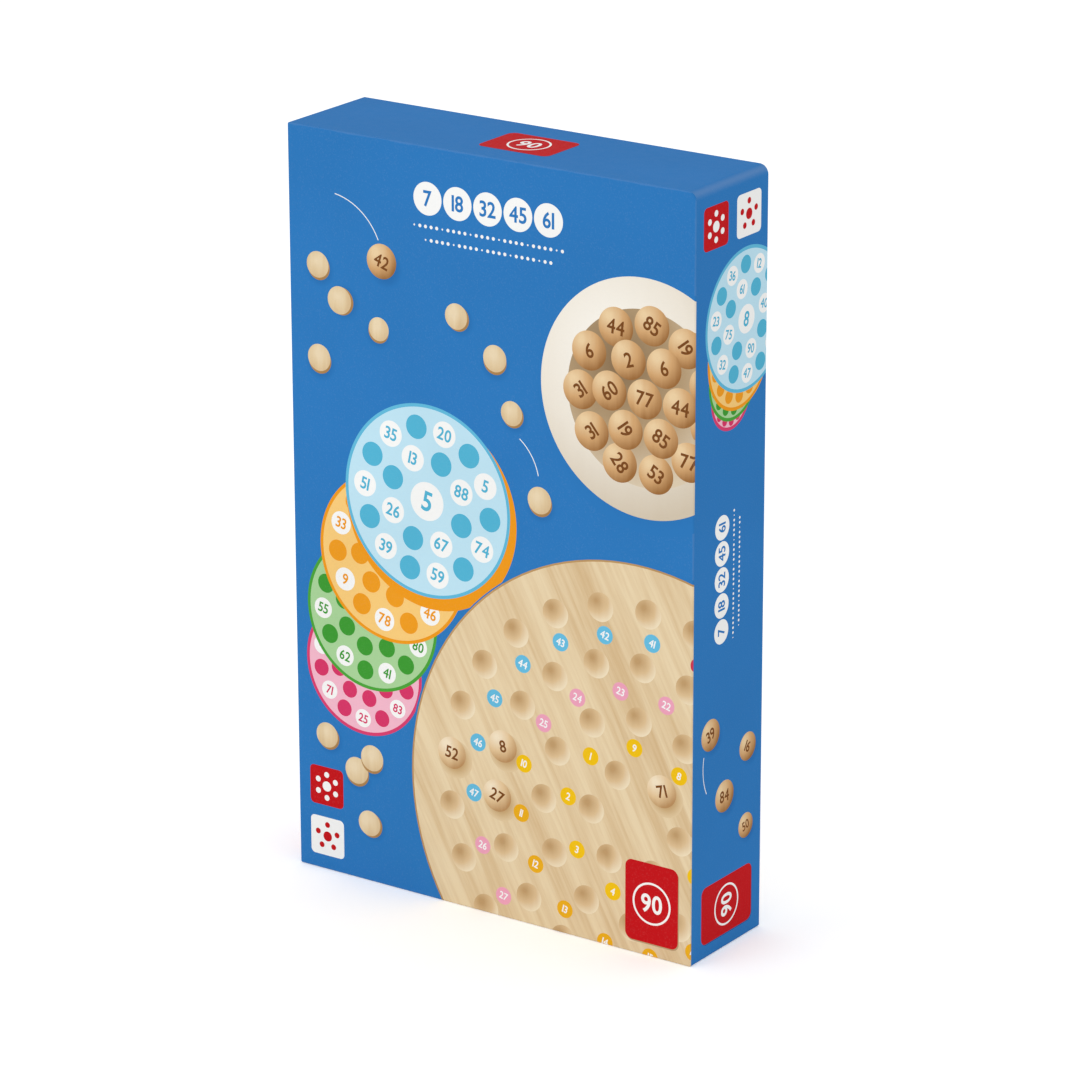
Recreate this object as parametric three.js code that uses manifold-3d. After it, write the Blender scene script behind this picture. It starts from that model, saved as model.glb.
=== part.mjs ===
// A boxed bingo game, standing on its lower end. A full-depth carton lid covers a tray, and the tray holds a
// folding wooden number board, a rules leaflet, a cloth bag of wooden balls, a pack of cards and wooden tokens.
// Millimetres. +X is to the right of the front face, +Y runs into the box and +Z is up. The origin is on the
// ground under the middle of the closed box. The box is worked out from what lies in it, from the back forward
// and from the lower end up.

import * as THREE from 'three';
import { mergeVertices } from 'three/addons/utils/BufferGeometryUtils.js';
import Module from 'manifold-3d';

const wasm = await Module();
wasm.setup();

// Clearances shared by all pieces
const SEAT_GAP = 0.3;
const CUT_OVERRUN = 3;

// Carton
const LID_BOARD = 2;
const TRAY_BOARD = 2;
const LID_PLAY = 0.6;
const SIDE_ROOM = 6.4;
const RIM_ROOM = 2.1;
const BOX_CORNER_RADIUS = 4.5;
const BOX_CORNER_SEGMENTS = 6;

// Card insert: a sheet against the tray's back with two cross ribs
const INSERT_SHEET = 1;
const INSERT_RIB = 2;
const WELL_ROOM = 2;
const TOKEN_ROOM = 6.18;

// Folding board: nine columns of five pits in each half
const BOARD_THICKNESS = 12;
const BOARD_COLUMNS = 9;
const BOARD_ROWS = 5;
const PITCH_ALONG = 31;
const PITCH_ACROSS = 37;
const MARGIN_ALONG = 21;
const PIT_MARGIN = 17.5;
const LABEL_MARGIN = 14;
const BOARD_CORNER_RADIUS = 12;
const BOARD_CORNER_SEGMENTS = 4;
const PIT_RADIUS = 9;
const PIT_DEPTH = 3.8;
const PIT_SIDES = 8;
const PIT_RINGS = 2;

// Butt hinges let into the spine of the board
const HINGE_COLUMN_SHARE = 1.5;
const HINGE_LENGTH = 44;
const LEAF_WIDTH = 9.4;
const LEAF_THICKNESS = 1.2;
const KNUCKLE_COUNT = 3;
const KNUCKLE_RADIUS = 2.25;
const KNUCKLE_SIDES = 12;
const PIN_RADIUS = 0.8;
const PIN_SIDES = 8;
const SCREW_LENGTH = 10;
const SCREW_RADIUS = 1.1;
const SCREW_HEAD_RADIUS = 2.1;
const SCREW_HEAD_HEIGHT = 1;
const SCREW_TIP = 2;
const SCREW_SPACING = 28;
const SCREW_SLOT_WIDTH = 0.6;
const SCREW_SLOT_DEPTH = 0.4;
const SCREW_SIDES = 8;
const SCREW_SIGNS = [-1, 1];

// Balls, laid in one close-packed layer
const BALL_RADIUS = 10;
const BALLS_IN_ROW = 9;
const BALL_ROWS = 10;
const BALL_NECK_RADIUS = 1;
const BALL_SIDES = 6;
const BALL_ARC_STEPS = 4;

// Cloth bag round the balls: a body, and a drawn neck that is sewn on at a seam on the slope of the shoulders
const BAG_CLOTH = 1;
const BAG_SLACK = 0.7;
const BAG_END_SLACK = 0.5;
const BAG_SIDE_POINTS = 10;
const BAG_FOOT_DEGREES = [75, 50, 25, 0];
const BAG_SHOULDER_DEGREES = [0, 35, 70];
const BAG_SEAM_SHARE = 0.64;
const NECK_FLAT = 2;
const NECK_RADIUS = 7;
const NECK_RISE = 7;
const NECK_HEIGHT = 6;
const MOUTH_FLAT = 8;
const MOUTH_RADIUS = 11.2;
const MOUTH_RISE = 8.6;

// Drawcord round the neck, with its two tails laid along the bag's shoulders
const CORD_RADIUS = 1.25;
const CORD_SIDES = 8;
const CORD_STEPS = 56;
const CORD_ROUTE = [
  [-82, -8.8, 10.5], [-70, -8.8, 10.5], [-58, -8.8, 10.5], [-46, -8.8, 10.5], [-34, -8.8, 10.9],
  [-24, -8.9, 13.4], [-14, -9.2, 17.4], [-6, -9.4, 19.7], [1, -9.2, 20.3], [8.2, -7.2, 20.4],
  [11.6, 0, 20.7], [8.2, 7.2, 21.0], [0, 9.4, 21.4], [-8.2, 7.2, 21.9], [-11.6, 0, 22.5],
  [-8.2, -7.2, 23.2], [-1, -9.2, 23.6], [6, -9.4, 23.4], [14, -9.2, 21.0], [24, -8.9, 15.4],
  [34, -8.8, 11.4], [46, -8.8, 10.5], [58, -8.8, 10.5], [70, -8.8, 10.5], [82, -8.8, 10.5],
];

// Cards
const CARD_LENGTH = 198;
const CARD_HEIGHT = 78;
const CARD_THICKNESS = 0.9;
const CARD_AIR = 0.1;
const CARD_CORNER_RADIUS = 4;
const CARD_CORNER_SEGMENTS = 2;
const CARDS_PER_COLOUR = 6;
const CARD_COLOURS = ['blue', 'orange', 'green', 'pink'];

// Tokens, laid face to face in rolls
const TOKEN_RADIUS = 9;
const TOKEN_THICKNESS = 3.9;
const TOKENS_IN_ROLL = 50;
const TOKEN_ROLLS = 3;
const TOKEN_SIDES = 16;

// Rules leaflet
const LEAFLET_WIDTH = 150;
const LEAFLET_HEIGHT = 210;
const LEAFLET_THICKNESS = 0.8;

// Sizes of the contents
const QUARTER_TURN = Math.PI / 2;
const BOARD_HALF_WIDTH = PIT_MARGIN + (BOARD_ROWS - 0.5) * PITCH_ACROSS + LABEL_MARGIN;
const BOARD_LENGTH = (BOARD_COLUMNS - 1) * PITCH_ALONG + 2 * MARGIN_ALONG;
const BALL_PITCH = 2 * BALL_RADIUS + SEAT_GAP;
const BALL_ROW_PITCH = BALL_PITCH * Math.sin(Math.PI / 3);
const BAG_INNER_RADIUS = BALL_RADIUS + BAG_SLACK;
const BAG_RADIUS = BAG_INNER_RADIUS + BAG_CLOTH;
const BAG_FLAT = ((BALLS_IN_ROW - 0.5) * BALL_PITCH) / 2 + BAG_END_SLACK;
const BAG_FOOT_RISE = BAG_RADIUS * Math.sin(THREE.MathUtils.degToRad(BAG_FOOT_DEGREES[0]));
const BAG_BODY_RISE = (BALL_ROWS - 1) * BALL_ROW_PITCH;
const BAG_HEIGHT = BAG_FOOT_RISE + BAG_BODY_RISE + BAG_RADIUS + NECK_RISE + NECK_HEIGHT + MOUTH_RISE;
const CARD_PITCH = CARD_THICKNESS + CARD_AIR;
const CARD_COUNT = CARDS_PER_COLOUR * CARD_COLOURS.length;
const TOKEN_ROLL_LENGTH = TOKEN_THICKNESS * TOKENS_IN_ROLL;
const TOKEN_STACK_HEIGHT = TOKEN_ROLLS * (2 * TOKEN_RADIUS + SEAT_GAP);
const CONTENT_WIDTH = Math.max(BOARD_HALF_WIDTH, 2 * (BAG_FLAT + BAG_RADIUS), CARD_LENGTH, TOKEN_ROLL_LENGTH);
const CONTENT_DEPTH = Math.max(2 * BAG_RADIUS, CARD_COUNT * CARD_PITCH, 2 * TOKEN_RADIUS);

// Heights inside the tray, from the lower end up
const WELL_LOW_Z = LID_BOARD + LID_PLAY + TRAY_BOARD;
const CONTENT_LOW_Z = WELL_LOW_Z + SEAT_GAP;
const BAG_FOOT_Z = CONTENT_LOW_Z + BAG_FOOT_RISE;
const BAG_SHOULDER_Z = BAG_FOOT_Z + BAG_BODY_RISE;
const NECK_Z = BAG_SHOULDER_Z + BAG_RADIUS + NECK_RISE;
const LOWER_RIB_Z = CONTENT_LOW_Z + BAG_HEIGHT + WELL_ROOM;
const CARD_LOW_Z = LOWER_RIB_Z + INSERT_RIB + SEAT_GAP;
const UPPER_RIB_Z = CARD_LOW_Z + CARD_HEIGHT + WELL_ROOM;
const TOKEN_LOW_Z = UPPER_RIB_Z + INSERT_RIB + SEAT_GAP;
const STACK_HIGH_Z = TOKEN_LOW_Z + TOKEN_STACK_HEIGHT + TOKEN_ROOM;
const WELL_HIGH_Z = Math.max(STACK_HIGH_Z, CONTENT_LOW_Z + BOARD_LENGTH + WELL_ROOM);
const BOX_HEIGHT = WELL_HIGH_Z + TRAY_BOARD + LID_PLAY + LID_BOARD;

// Widths, from the middle out
const WELL_HALF_WIDTH = CONTENT_WIDTH / 2 + SIDE_ROOM;
const TRAY_HALF_WIDTH = WELL_HALF_WIDTH + TRAY_BOARD;
const BOX_HALF_WIDTH = TRAY_HALF_WIDTH + LID_PLAY + LID_BOARD;
const SPINE_X = -BOARD_HALF_WIDTH / 2;

// Depths: the layers are counted from the tray's back, then set so that the box is centred on Y = 0
const CONTENT_BACK = TRAY_BOARD + SEAT_GAP + INSERT_SHEET + SEAT_GAP;
const RIB_FRONT = CONTENT_BACK + CONTENT_DEPTH + SEAT_GAP;
const LEAFLET_BACK = RIB_FRONT + SEAT_GAP;
const BOARD_BACK = LEAFLET_BACK + LEAFLET_THICKNESS + SEAT_GAP;
const BOARD_FRONT = BOARD_BACK + 2 * BOARD_THICKNESS + SEAT_GAP;
const TRAY_DEPTH = BOARD_FRONT + RIM_ROOM;
const BOX_DEPTH = TRAY_DEPTH + SEAT_GAP + LID_BOARD;
const BACK_Y = BOX_DEPTH / 2;
const FRONT_Y = -BACK_Y;
const BAG_MIDDLE_Y = BACK_Y - CONTENT_BACK - BAG_RADIUS;

// The board's hinge axis, from the corner of a half where its spine meets its pit face
const AXIS_OFFSET = SEAT_GAP / 2;

const FINISHES = {
  printedCarton: { color: 0x377cbd, roughness: 0.5, metalness: 0 },
  trayCarton: { color: 0xf1efe9, roughness: 0.7, metalness: 0 },
  insertCard: { color: 0xe4dfd3, roughness: 0.8, metalness: 0 },
  leafletPaper: { color: 0xf6f6f3, roughness: 0.6, metalness: 0 },
  boardWood: { color: 0xdfc198, roughness: 0.55, metalness: 0 },
  ballWood: { color: 0xcfa878, roughness: 0.5, metalness: 0 },
  tokenWood: { color: 0xd6b88d, roughness: 0.6, metalness: 0 },
  bagCloth: { color: 0xece4d4, roughness: 0.9, metalness: 0 },
  cordCotton: { color: 0xf2eee6, roughness: 0.9, metalness: 0 },
  hingeSteel: { color: 0xb4b4b0, roughness: 0.3, metalness: 1 },
  blueCard: { color: 0x59b7d8, roughness: 0.5, metalness: 0 },
  orangeCard: { color: 0xf0a32c, roughness: 0.5, metalness: 0 },
  greenCard: { color: 0x57ab3f, roughness: 0.5, metalness: 0 },
  pinkCard: { color: 0xe06a95, roughness: 0.5, metalness: 0 },
};

/** A geometry with shared vertices and no triangle that has collapsed on an axis. */
function welded(geometry) {
  const plain = new THREE.BufferGeometry();
  plain.setAttribute('position', geometry.getAttribute('position').clone());
  if (geometry.index) {
    plain.setIndex(geometry.index.clone());
  }
  const merged = mergeVertices(plain);
  const kept = [];
  for (let i = 0; i < merged.index.count; i += 3) {
    const corners = [merged.index.getX(i), merged.index.getX(i + 1), merged.index.getX(i + 2)];
    if (new Set(corners).size === corners.length) {
      kept.push(...corners);
    }
  }
  merged.setIndex(kept);
  return merged;
}

/** A solid from a geometry that was welded before it was placed. */
function solidOf(geometry) {
  const vertProperties = new Float32Array(geometry.getAttribute('position').array);
  const triVerts = new Uint32Array(geometry.index.array);
  return new wasm.Manifold(new wasm.Mesh({ numProp: 3, vertProperties, triVerts }));
}

function geometryOf(solid) {
  const mesh = solid.getMesh();
  const geometry = new THREE.BufferGeometry();
  geometry.setAttribute('position', new THREE.BufferAttribute(mesh.vertProperties, 3));
  geometry.setIndex(new THREE.BufferAttribute(mesh.triVerts, 1));
  return geometry;
}

function named(name, geometry, finish) {
  const mesh = new THREE.Mesh(geometry, new THREE.MeshStandardMaterial(FINISHES[finish]));
  mesh.name = name;
  return mesh;
}

/** A box between two corners. */
function slab(low, high) {
  const size = high.map((value, axis) => value - low[axis]);
  const middle = high.map((value, axis) => (value + low[axis]) / 2);
  return welded(new THREE.BoxGeometry(...size)).translate(...middle);
}

/** A solid of revolution about Z, from a profile of [radius, height] points that rises along the axis. */
function turned(profile, sides) {
  const points = profile.map(([radius, height]) => new THREE.Vector2(radius, height));
  return welded(new THREE.LatheGeometry(points, sides)).rotateX(QUARTER_TURN);
}

/** A rod along Z between two heights. */
function rod(radius, low, high, sides) {
  return turned([[0, low], [radius, low], [radius, high], [0, high]], sides);
}

/** A rectangle from (0, 0) with its own radius at each corner, from the lower left one anticlockwise. */
function roundedOutline(width, height, radii, segments) {
  const corners = [[0, 0], [width, 0], [width, height], [0, height]];
  const points = corners.flatMap(([x, y], index) => {
    const radius = radii[index];
    if (radius === 0) {
      return [new THREE.Vector2(x, y)];
    }
    const centreX = x === 0 ? radius : width - radius;
    const centreY = y === 0 ? radius : height - radius;
    return Array.from({ length: segments + 1 }, (unused, step) => {
      const turn = Math.PI + (index + step / segments) * QUARTER_TURN;
      return new THREE.Vector2(centreX + radius * Math.cos(turn), centreY + radius * Math.sin(turn));
    });
  });
  return new THREE.Shape(points);
}

/** A plate whose outline lies in X and Y, and whose thickness runs down from Z = 0. */
function plate(outline, thickness) {
  const settings = { depth: thickness, bevelEnabled: false };
  return welded(new THREE.ExtrudeGeometry(outline, settings)).translate(0, 0, -thickness);
}

/** The lid: five walls that cover the tray's whole depth, with its upper right edge rounded. */
function buildLid() {
  const radii = [0, 0, BOX_CORNER_RADIUS, 0];
  const outline = roundedOutline(2 * BOX_HALF_WIDTH, BOX_HEIGHT, radii, BOX_CORNER_SEGMENTS);
  const block = plate(outline, BOX_DEPTH);
  block.rotateX(QUARTER_TURN).translate(-BOX_HALF_WIDTH, FRONT_Y, 0);
  const inside = slab(
    [-BOX_HALF_WIDTH + LID_BOARD, FRONT_Y + LID_BOARD, LID_BOARD],
    [BOX_HALF_WIDTH - LID_BOARD, BACK_Y + CUT_OVERRUN, BOX_HEIGHT - LID_BOARD],
  );
  return named('lid', geometryOf(solidOf(block).subtract(solidOf(inside))), 'printedCarton');
}

/** The tray: a back and four walls that end just behind the lid's front. */
function buildTray() {
  const lowZ = WELL_LOW_Z - TRAY_BOARD;
  const highZ = WELL_HIGH_Z + TRAY_BOARD;
  const rimY = BACK_Y - TRAY_DEPTH;
  const block = slab([-TRAY_HALF_WIDTH, rimY, lowZ], [TRAY_HALF_WIDTH, BACK_Y, highZ]);
  const inside = slab(
    [-WELL_HALF_WIDTH, rimY - CUT_OVERRUN, WELL_LOW_Z],
    [WELL_HALF_WIDTH, BACK_Y - TRAY_BOARD, WELL_HIGH_Z],
  );
  return named('tray', geometryOf(solidOf(block).subtract(solidOf(inside))), 'trayCarton');
}

/** The insert: a sheet with two ribs that part the bag, the cards and the tokens, as one comb along X. */
function buildInsert() {
  const halfWidth = WELL_HALF_WIDTH - SEAT_GAP;
  const backY = BACK_Y - TRAY_BOARD - SEAT_GAP;
  const sheetY = backY - INSERT_SHEET;
  const ribY = BACK_Y - RIB_FRONT;
  const lowZ = WELL_LOW_Z + SEAT_GAP;
  const highZ = WELL_HIGH_Z - SEAT_GAP;
  const ribs = [LOWER_RIB_Z, UPPER_RIB_Z].flatMap((ribZ) => [
    [sheetY, ribZ], [ribY, ribZ], [ribY, ribZ + INSERT_RIB], [sheetY, ribZ + INSERT_RIB],
  ]);
  const section = [[backY, highZ], [sheetY, highZ], ...ribs.toReversed(), [sheetY, lowZ], [backY, lowZ]];
  const outline = new THREE.Shape(section.map(([y, z]) => new THREE.Vector2(y, z)));
  const comb = plate(outline, 2 * halfWidth).rotateX(QUARTER_TURN).rotateZ(QUARTER_TURN);
  return named('insert', comb.translate(halfWidth, 0, 0), 'insertCard');
}

/** The leaflet, upright between the insert's ribs and the board. */
function buildLeaflet() {
  const backY = BACK_Y - LEAFLET_BACK;
  const low = [-LEAFLET_WIDTH / 2, backY - LEAFLET_THICKNESS, CONTENT_LOW_Z];
  const high = [LEAFLET_WIDTH / 2, backY, CONTENT_LOW_Z + LEAFLET_HEIGHT];
  return named('rules_leaflet', slab(low, high), 'leafletPaper');
}

/** A cutter for one pit: a shallow bowl below Z = 0 and an overrun above it. */
function pitCutter() {
  const bowlRadius = (PIT_RADIUS ** 2 + PIT_DEPTH ** 2) / (2 * PIT_DEPTH);
  const widest = Math.asin(PIT_RADIUS / bowlRadius);
  const profile = [];
  for (let ring = 0; ring <= PIT_RINGS; ring += 1) {
    const angle = (widest * ring) / PIT_RINGS;
    const depth = bowlRadius * Math.cos(angle) - (bowlRadius - PIT_DEPTH);
    profile.push([ring === 0 ? 0 : bowlRadius * Math.sin(angle), -depth]);
  }
  profile.push([PIT_RADIUS, CUT_OVERRUN], [0, CUT_OVERRUN]);
  return turned(profile, PIT_SIDES);
}

/** The places along the spine of the middles of the two hinges. */
function hingePlaces() {
  const place = MARGIN_ALONG + HINGE_COLUMN_SHARE * PITCH_ALONG;
  return [place, BOARD_LENGTH - place];
}

/** A screw along X, with its head's top at X = 0, grown all round by a gap where it is a cutter. */
function screwBody(gap, headRise) {
  const rise = headRise > 0 ? [[SCREW_HEAD_RADIUS + gap, -headRise]] : [];
  const profile = [
    [0, -headRise],
    ...rise,
    [SCREW_HEAD_RADIUS + gap, gap],
    [SCREW_RADIUS + gap, SCREW_HEAD_HEIGHT + gap],
    [SCREW_RADIUS + gap, SCREW_LENGTH - SCREW_TIP + gap],
    [0, SCREW_LENGTH + gap],
  ];
  return turned(profile, SCREW_SIDES).rotateY(QUARTER_TURN);
}

/** One half of the board: X runs from the spine, Y along it and Z out of the pit face. */
function boardHalf(firstPit) {
  const radii = [0, BOARD_CORNER_RADIUS, BOARD_CORNER_RADIUS, 0];
  const outline = roundedOutline(BOARD_HALF_WIDTH, BOARD_LENGTH, radii, BOARD_CORNER_SEGMENTS);
  let half = solidOf(plate(outline, BOARD_THICKNESS));
  for (let column = 0; column < BOARD_COLUMNS; column += 1) {
    for (let row = 0; row < BOARD_ROWS; row += 1) {
      const place = [firstPit + row * PITCH_ACROSS, MARGIN_ALONG + column * PITCH_ALONG, 0];
      half = half.subtract(solidOf(pitCutter().translate(...place)));
    }
  }
  const reach = HINGE_LENGTH / 2 + SEAT_GAP;
  for (const place of hingePlaces()) {
    const notch = rod(KNUCKLE_RADIUS + SEAT_GAP, -reach, reach, KNUCKLE_SIDES).rotateX(-QUARTER_TURN);
    const pocket = slab(
      [-CUT_OVERRUN, -reach, -LEAF_WIDTH - SEAT_GAP],
      [LEAF_THICKNESS + SEAT_GAP, reach, CUT_OVERRUN],
    );
    half = half.subtract(solidOf(notch.translate(-AXIS_OFFSET, place, AXIS_OFFSET)));
    half = half.subtract(solidOf(pocket.translate(0, place, 0)));
    for (const sign of SCREW_SIGNS) {
      const hole = screwBody(SEAT_GAP, CUT_OVERRUN);
      half = half.subtract(solidOf(hole.translate(0, place + (sign * SCREW_SPACING) / 2, -LEAF_WIDTH / 2)));
    }
  }
  return geometryOf(half);
}

/** One hinge leaf on the same axes as a half, with its middle at Y = 0, and its own share of the knuckles. */
function hingeLeaf(ownKnuckles) {
  const halfLength = HINGE_LENGTH / 2;
  const step = HINGE_LENGTH / KNUCKLE_COUNT;
  let leaf = solidOf(slab([0, -halfLength, -LEAF_WIDTH], [LEAF_THICKNESS, halfLength, 0]));
  for (let knuckle = 0; knuckle < KNUCKLE_COUNT; knuckle += 1) {
    const low = -halfLength + knuckle * step;
    const own = ownKnuckles.includes(knuckle);
    const lowGap = knuckle === 0 ? 0 : SEAT_GAP / 2;
    const highGap = knuckle === KNUCKLE_COUNT - 1 ? 0 : SEAT_GAP / 2;
    const radius = own ? KNUCKLE_RADIUS : KNUCKLE_RADIUS + SEAT_GAP;
    const lowEnd = own ? low + lowGap : low - (knuckle === 0 ? CUT_OVERRUN : lowGap);
    const highEnd = own ? low + step - highGap : low + step + (highGap > 0 ? highGap : CUT_OVERRUN);
    const barrel = rod(radius, lowEnd, highEnd, KNUCKLE_SIDES).rotateX(-QUARTER_TURN);
    const body = solidOf(barrel.translate(-AXIS_OFFSET, 0, AXIS_OFFSET));
    leaf = own ? leaf.add(body) : leaf.subtract(body);
  }
  const reach = halfLength + CUT_OVERRUN;
  const bore = rod(PIN_RADIUS + SEAT_GAP, -reach, reach, PIN_SIDES).rotateX(-QUARTER_TURN);
  leaf = leaf.subtract(solidOf(bore.translate(-AXIS_OFFSET, 0, AXIS_OFFSET)));
  for (const sign of SCREW_SIGNS) {
    const hole = screwBody(SEAT_GAP, CUT_OVERRUN);
    leaf = leaf.subtract(solidOf(hole.translate(0, (sign * SCREW_SPACING) / 2, -LEAF_WIDTH / 2)));
  }
  return geometryOf(leaf);
}

/** A countersunk screw with a slot across its head. */
function hingeScrew() {
  const slotReach = SCREW_HEAD_RADIUS + CUT_OVERRUN;
  const slot = slab(
    [-CUT_OVERRUN, -slotReach, -SCREW_SLOT_WIDTH / 2],
    [SCREW_SLOT_DEPTH, slotReach, SCREW_SLOT_WIDTH / 2],
  );
  return geometryOf(solidOf(screwBody(0, 0)).subtract(solidOf(slot)));
}

/** One half of the board with its hinge leaves and their screws, in its own turned group. */
function halfGroup(name, firstPit, ownKnuckles) {
  const group = new THREE.Group();
  group.add(named(`board_${name}`, boardHalf(firstPit), 'boardWood'));
  hingePlaces().forEach((place, index) => {
    const leaf = named(`hinge_${index + 1}_leaf_${name}`, hingeLeaf(ownKnuckles), 'hingeSteel');
    leaf.position.set(0, place, 0);
    group.add(leaf);
    SCREW_SIGNS.forEach((sign, screwIndex) => {
      const screwName = `hinge_${index + 1}_screw_${name}_${screwIndex + 1}`;
      const screw = named(screwName, hingeScrew(), 'hingeSteel');
      screw.position.set(0, place + (sign * SCREW_SPACING) / 2, -LEAF_WIDTH / 2);
      group.add(screw);
    });
  });
  return group;
}

/** The folded board: its rear half, its front half turned to face it, and the hinge pins. */
function buildBoard() {
  const board = new THREE.Group();
  const rearFaceY = BACK_Y - BOARD_BACK - BOARD_THICKNESS;
  const rear = halfGroup('rear_half', PIT_MARGIN, [0, 2]);
  rear.rotation.x = QUARTER_TURN;
  rear.position.set(SPINE_X, rearFaceY, CONTENT_LOW_Z);
  hingePlaces().forEach((place, index) => {
    const pinBody = rod(PIN_RADIUS, -HINGE_LENGTH / 2, HINGE_LENGTH / 2, PIN_SIDES).rotateX(-QUARTER_TURN);
    const pin = named(`hinge_${index + 1}_pin`, pinBody, 'hingeSteel');
    pin.position.set(-AXIS_OFFSET, place, AXIS_OFFSET);
    rear.add(pin);
  });
  const front = halfGroup('front_half', LABEL_MARGIN + PITCH_ACROSS / 2, [1]);
  front.rotation.x = -QUARTER_TURN;
  front.position.set(SPINE_X, rearFaceY - SEAT_GAP, CONTENT_LOW_Z + BOARD_LENGTH);
  board.add(rear, front);
  return board;
}

/** One row of balls along X, joined by small necks where they meet. */
function ballRow() {
  const profile = [[0, -BALL_RADIUS]];
  for (let ball = 0; ball < BALLS_IN_ROW; ball += 1) {
    for (let step = 0; step <= BALL_ARC_STEPS; step += 1) {
      const angle = (Math.PI * step) / BALL_ARC_STEPS;
      const radius = Math.max(BALL_RADIUS * Math.sin(angle), BALL_NECK_RADIUS);
      const isEnd = (ball === 0 && step === 0) || (ball === BALLS_IN_ROW - 1 && step === BALL_ARC_STEPS);
      if (!isEnd) {
        profile.push([radius, ball * BALL_PITCH - BALL_RADIUS * Math.cos(angle)]);
      }
    }
  }
  profile.push([0, (BALLS_IN_ROW - 1) * BALL_PITCH + BALL_RADIUS]);
  const middle = ((BALLS_IN_ROW - 1) * BALL_PITCH) / 2;
  return turned(profile, BALL_SIDES).translate(0, 0, -middle).rotateY(QUARTER_TURN);
}

/** The rows of balls, each set in by half a pitch from the one under it. */
function buildBalls() {
  const balls = new THREE.Group();
  for (let row = 0; row < BALL_ROWS; row += 1) {
    const name = `ball_row_${String(row + 1).padStart(2, '0')}`;
    const mesh = named(name, ballRow(), 'ballWood');
    const side = row % 2 === 0 ? 1 : -1;
    mesh.position.set((side * BALL_PITCH) / 4, BAG_MIDDLE_Y, BAG_FOOT_Z + row * BALL_ROW_PITCH);
    balls.add(mesh);
  }
  return balls;
}

/** One ring of the bag at a height: two half ellipses parted by a flat along X. */
function bagRing(flat, radiusX, radiusY, height) {
  const ring = [];
  for (const side of [1, -1]) {
    for (let point = 0; point < BAG_SIDE_POINTS; point += 1) {
      const turn = -QUARTER_TURN + (Math.PI * point) / (BAG_SIDE_POINTS - 1);
      const x = side * (flat + radiusX * Math.cos(turn));
      ring.push([x, side * radiusY * Math.sin(turn), height]);
    }
  }
  return ring;
}

/** The rings of the bag's outer face, or of its inner face where the cloth's thickness is taken off. */
function bagRings(cloth) {
  const radius = BAG_RADIUS - cloth;
  const body = [];
  for (const degrees of BAG_FOOT_DEGREES) {
    const angle = THREE.MathUtils.degToRad(degrees);
    const across = radius * Math.cos(angle);
    body.push(bagRing(BAG_FLAT, across, across, BAG_FOOT_Z - radius * Math.sin(angle)));
  }
  for (const degrees of BAG_SHOULDER_DEGREES) {
    const angle = THREE.MathUtils.degToRad(degrees);
    const across = radius * Math.cos(angle);
    body.push(bagRing(BAG_FLAT, across, across, BAG_SHOULDER_Z + radius * Math.sin(angle)));
  }
  const neckRadius = NECK_RADIUS - cloth;
  const mouthRadius = MOUTH_RADIUS - cloth;
  const neck = [
    bagRing(NECK_FLAT, neckRadius, neckRadius, NECK_Z),
    bagRing(NECK_FLAT, neckRadius, neckRadius, NECK_Z + NECK_HEIGHT),
    bagRing(MOUTH_FLAT, mouthRadius, mouthRadius, NECK_Z + NECK_HEIGHT + MOUTH_RISE),
  ];
  return { body, neck };
}

/** The ring of a slope at a height, between the rings at its two ends. */
function ringBetween(lower, upper, height) {
  const share = (height - lower[0][2]) / (upper[0][2] - lower[0][2]);
  return lower.map((point, index) => point.map((value, axis) => value + share * (upper[index][axis] - value)));
}

/** A closed shell over rings in order: with a fan over each end where it has a foot, or else end to start. */
function shellFrom(rings, hasFoot) {
  const points = rings.flat();
  const count = 2 * BAG_SIDE_POINTS;
  const faces = [];
  const strips = hasFoot ? rings.length - 1 : rings.length;
  for (let ring = 0; ring < strips; ring += 1) {
    const above = (ring + 1) % rings.length;
    for (let point = 0; point < count; point += 1) {
      const next = (point + 1) % count;
      const here = ring * count;
      const there = above * count;
      faces.push(here + point, here + next, there + next, here + point, there + next, there + point);
    }
  }
  if (hasFoot) {
    const lastRing = (rings.length - 1) * count;
    const centre = points.length;
    points.push([0, 0, rings[0][0][2]], [0, 0, rings[rings.length - 1][0][2]]);
    for (let point = 0; point < count; point += 1) {
      const next = (point + 1) % count;
      faces.push(centre, next, point, centre + 1, lastRing + point, lastRing + next);
    }
  }
  const shell = new THREE.BufferGeometry();
  shell.setAttribute('position', new THREE.Float32BufferAttribute(points.flat(), 3));
  shell.setIndex(faces);
  return shell;
}

/** The bag's body with its closed foot, and its neck, whose edges meet at the seam. */
function buildBag() {
  const outer = bagRings(0);
  const inner = bagRings(BAG_CLOTH);
  const shoulderZ = outer.body.at(-1)[0][2];
  const seamZ = shoulderZ + BAG_SEAM_SHARE * (NECK_Z - shoulderZ);
  const seamRing = ({ body, neck }, height) => ringBetween(body.at(-1), neck[0], height);
  const bodyTop = seamZ - SEAT_GAP / 2;
  const neckFoot = seamZ + SEAT_GAP / 2;
  const bodyRings = [
    ...outer.body, seamRing(outer, bodyTop),
    seamRing(inner, bodyTop), ...inner.body.toReversed(),
  ];
  const neckRings = [
    seamRing(outer, neckFoot), ...outer.neck,
    ...inner.neck.toReversed(), seamRing(inner, neckFoot),
  ];
  const bag = new THREE.Group();
  bag.add(named('ball_bag', shellFrom(bodyRings, true), 'bagCloth'));
  bag.add(named('bag_neck', shellFrom(neckRings, false), 'bagCloth'));
  bag.position.set(0, BAG_MIDDLE_Y, 0);
  return bag;
}

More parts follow.
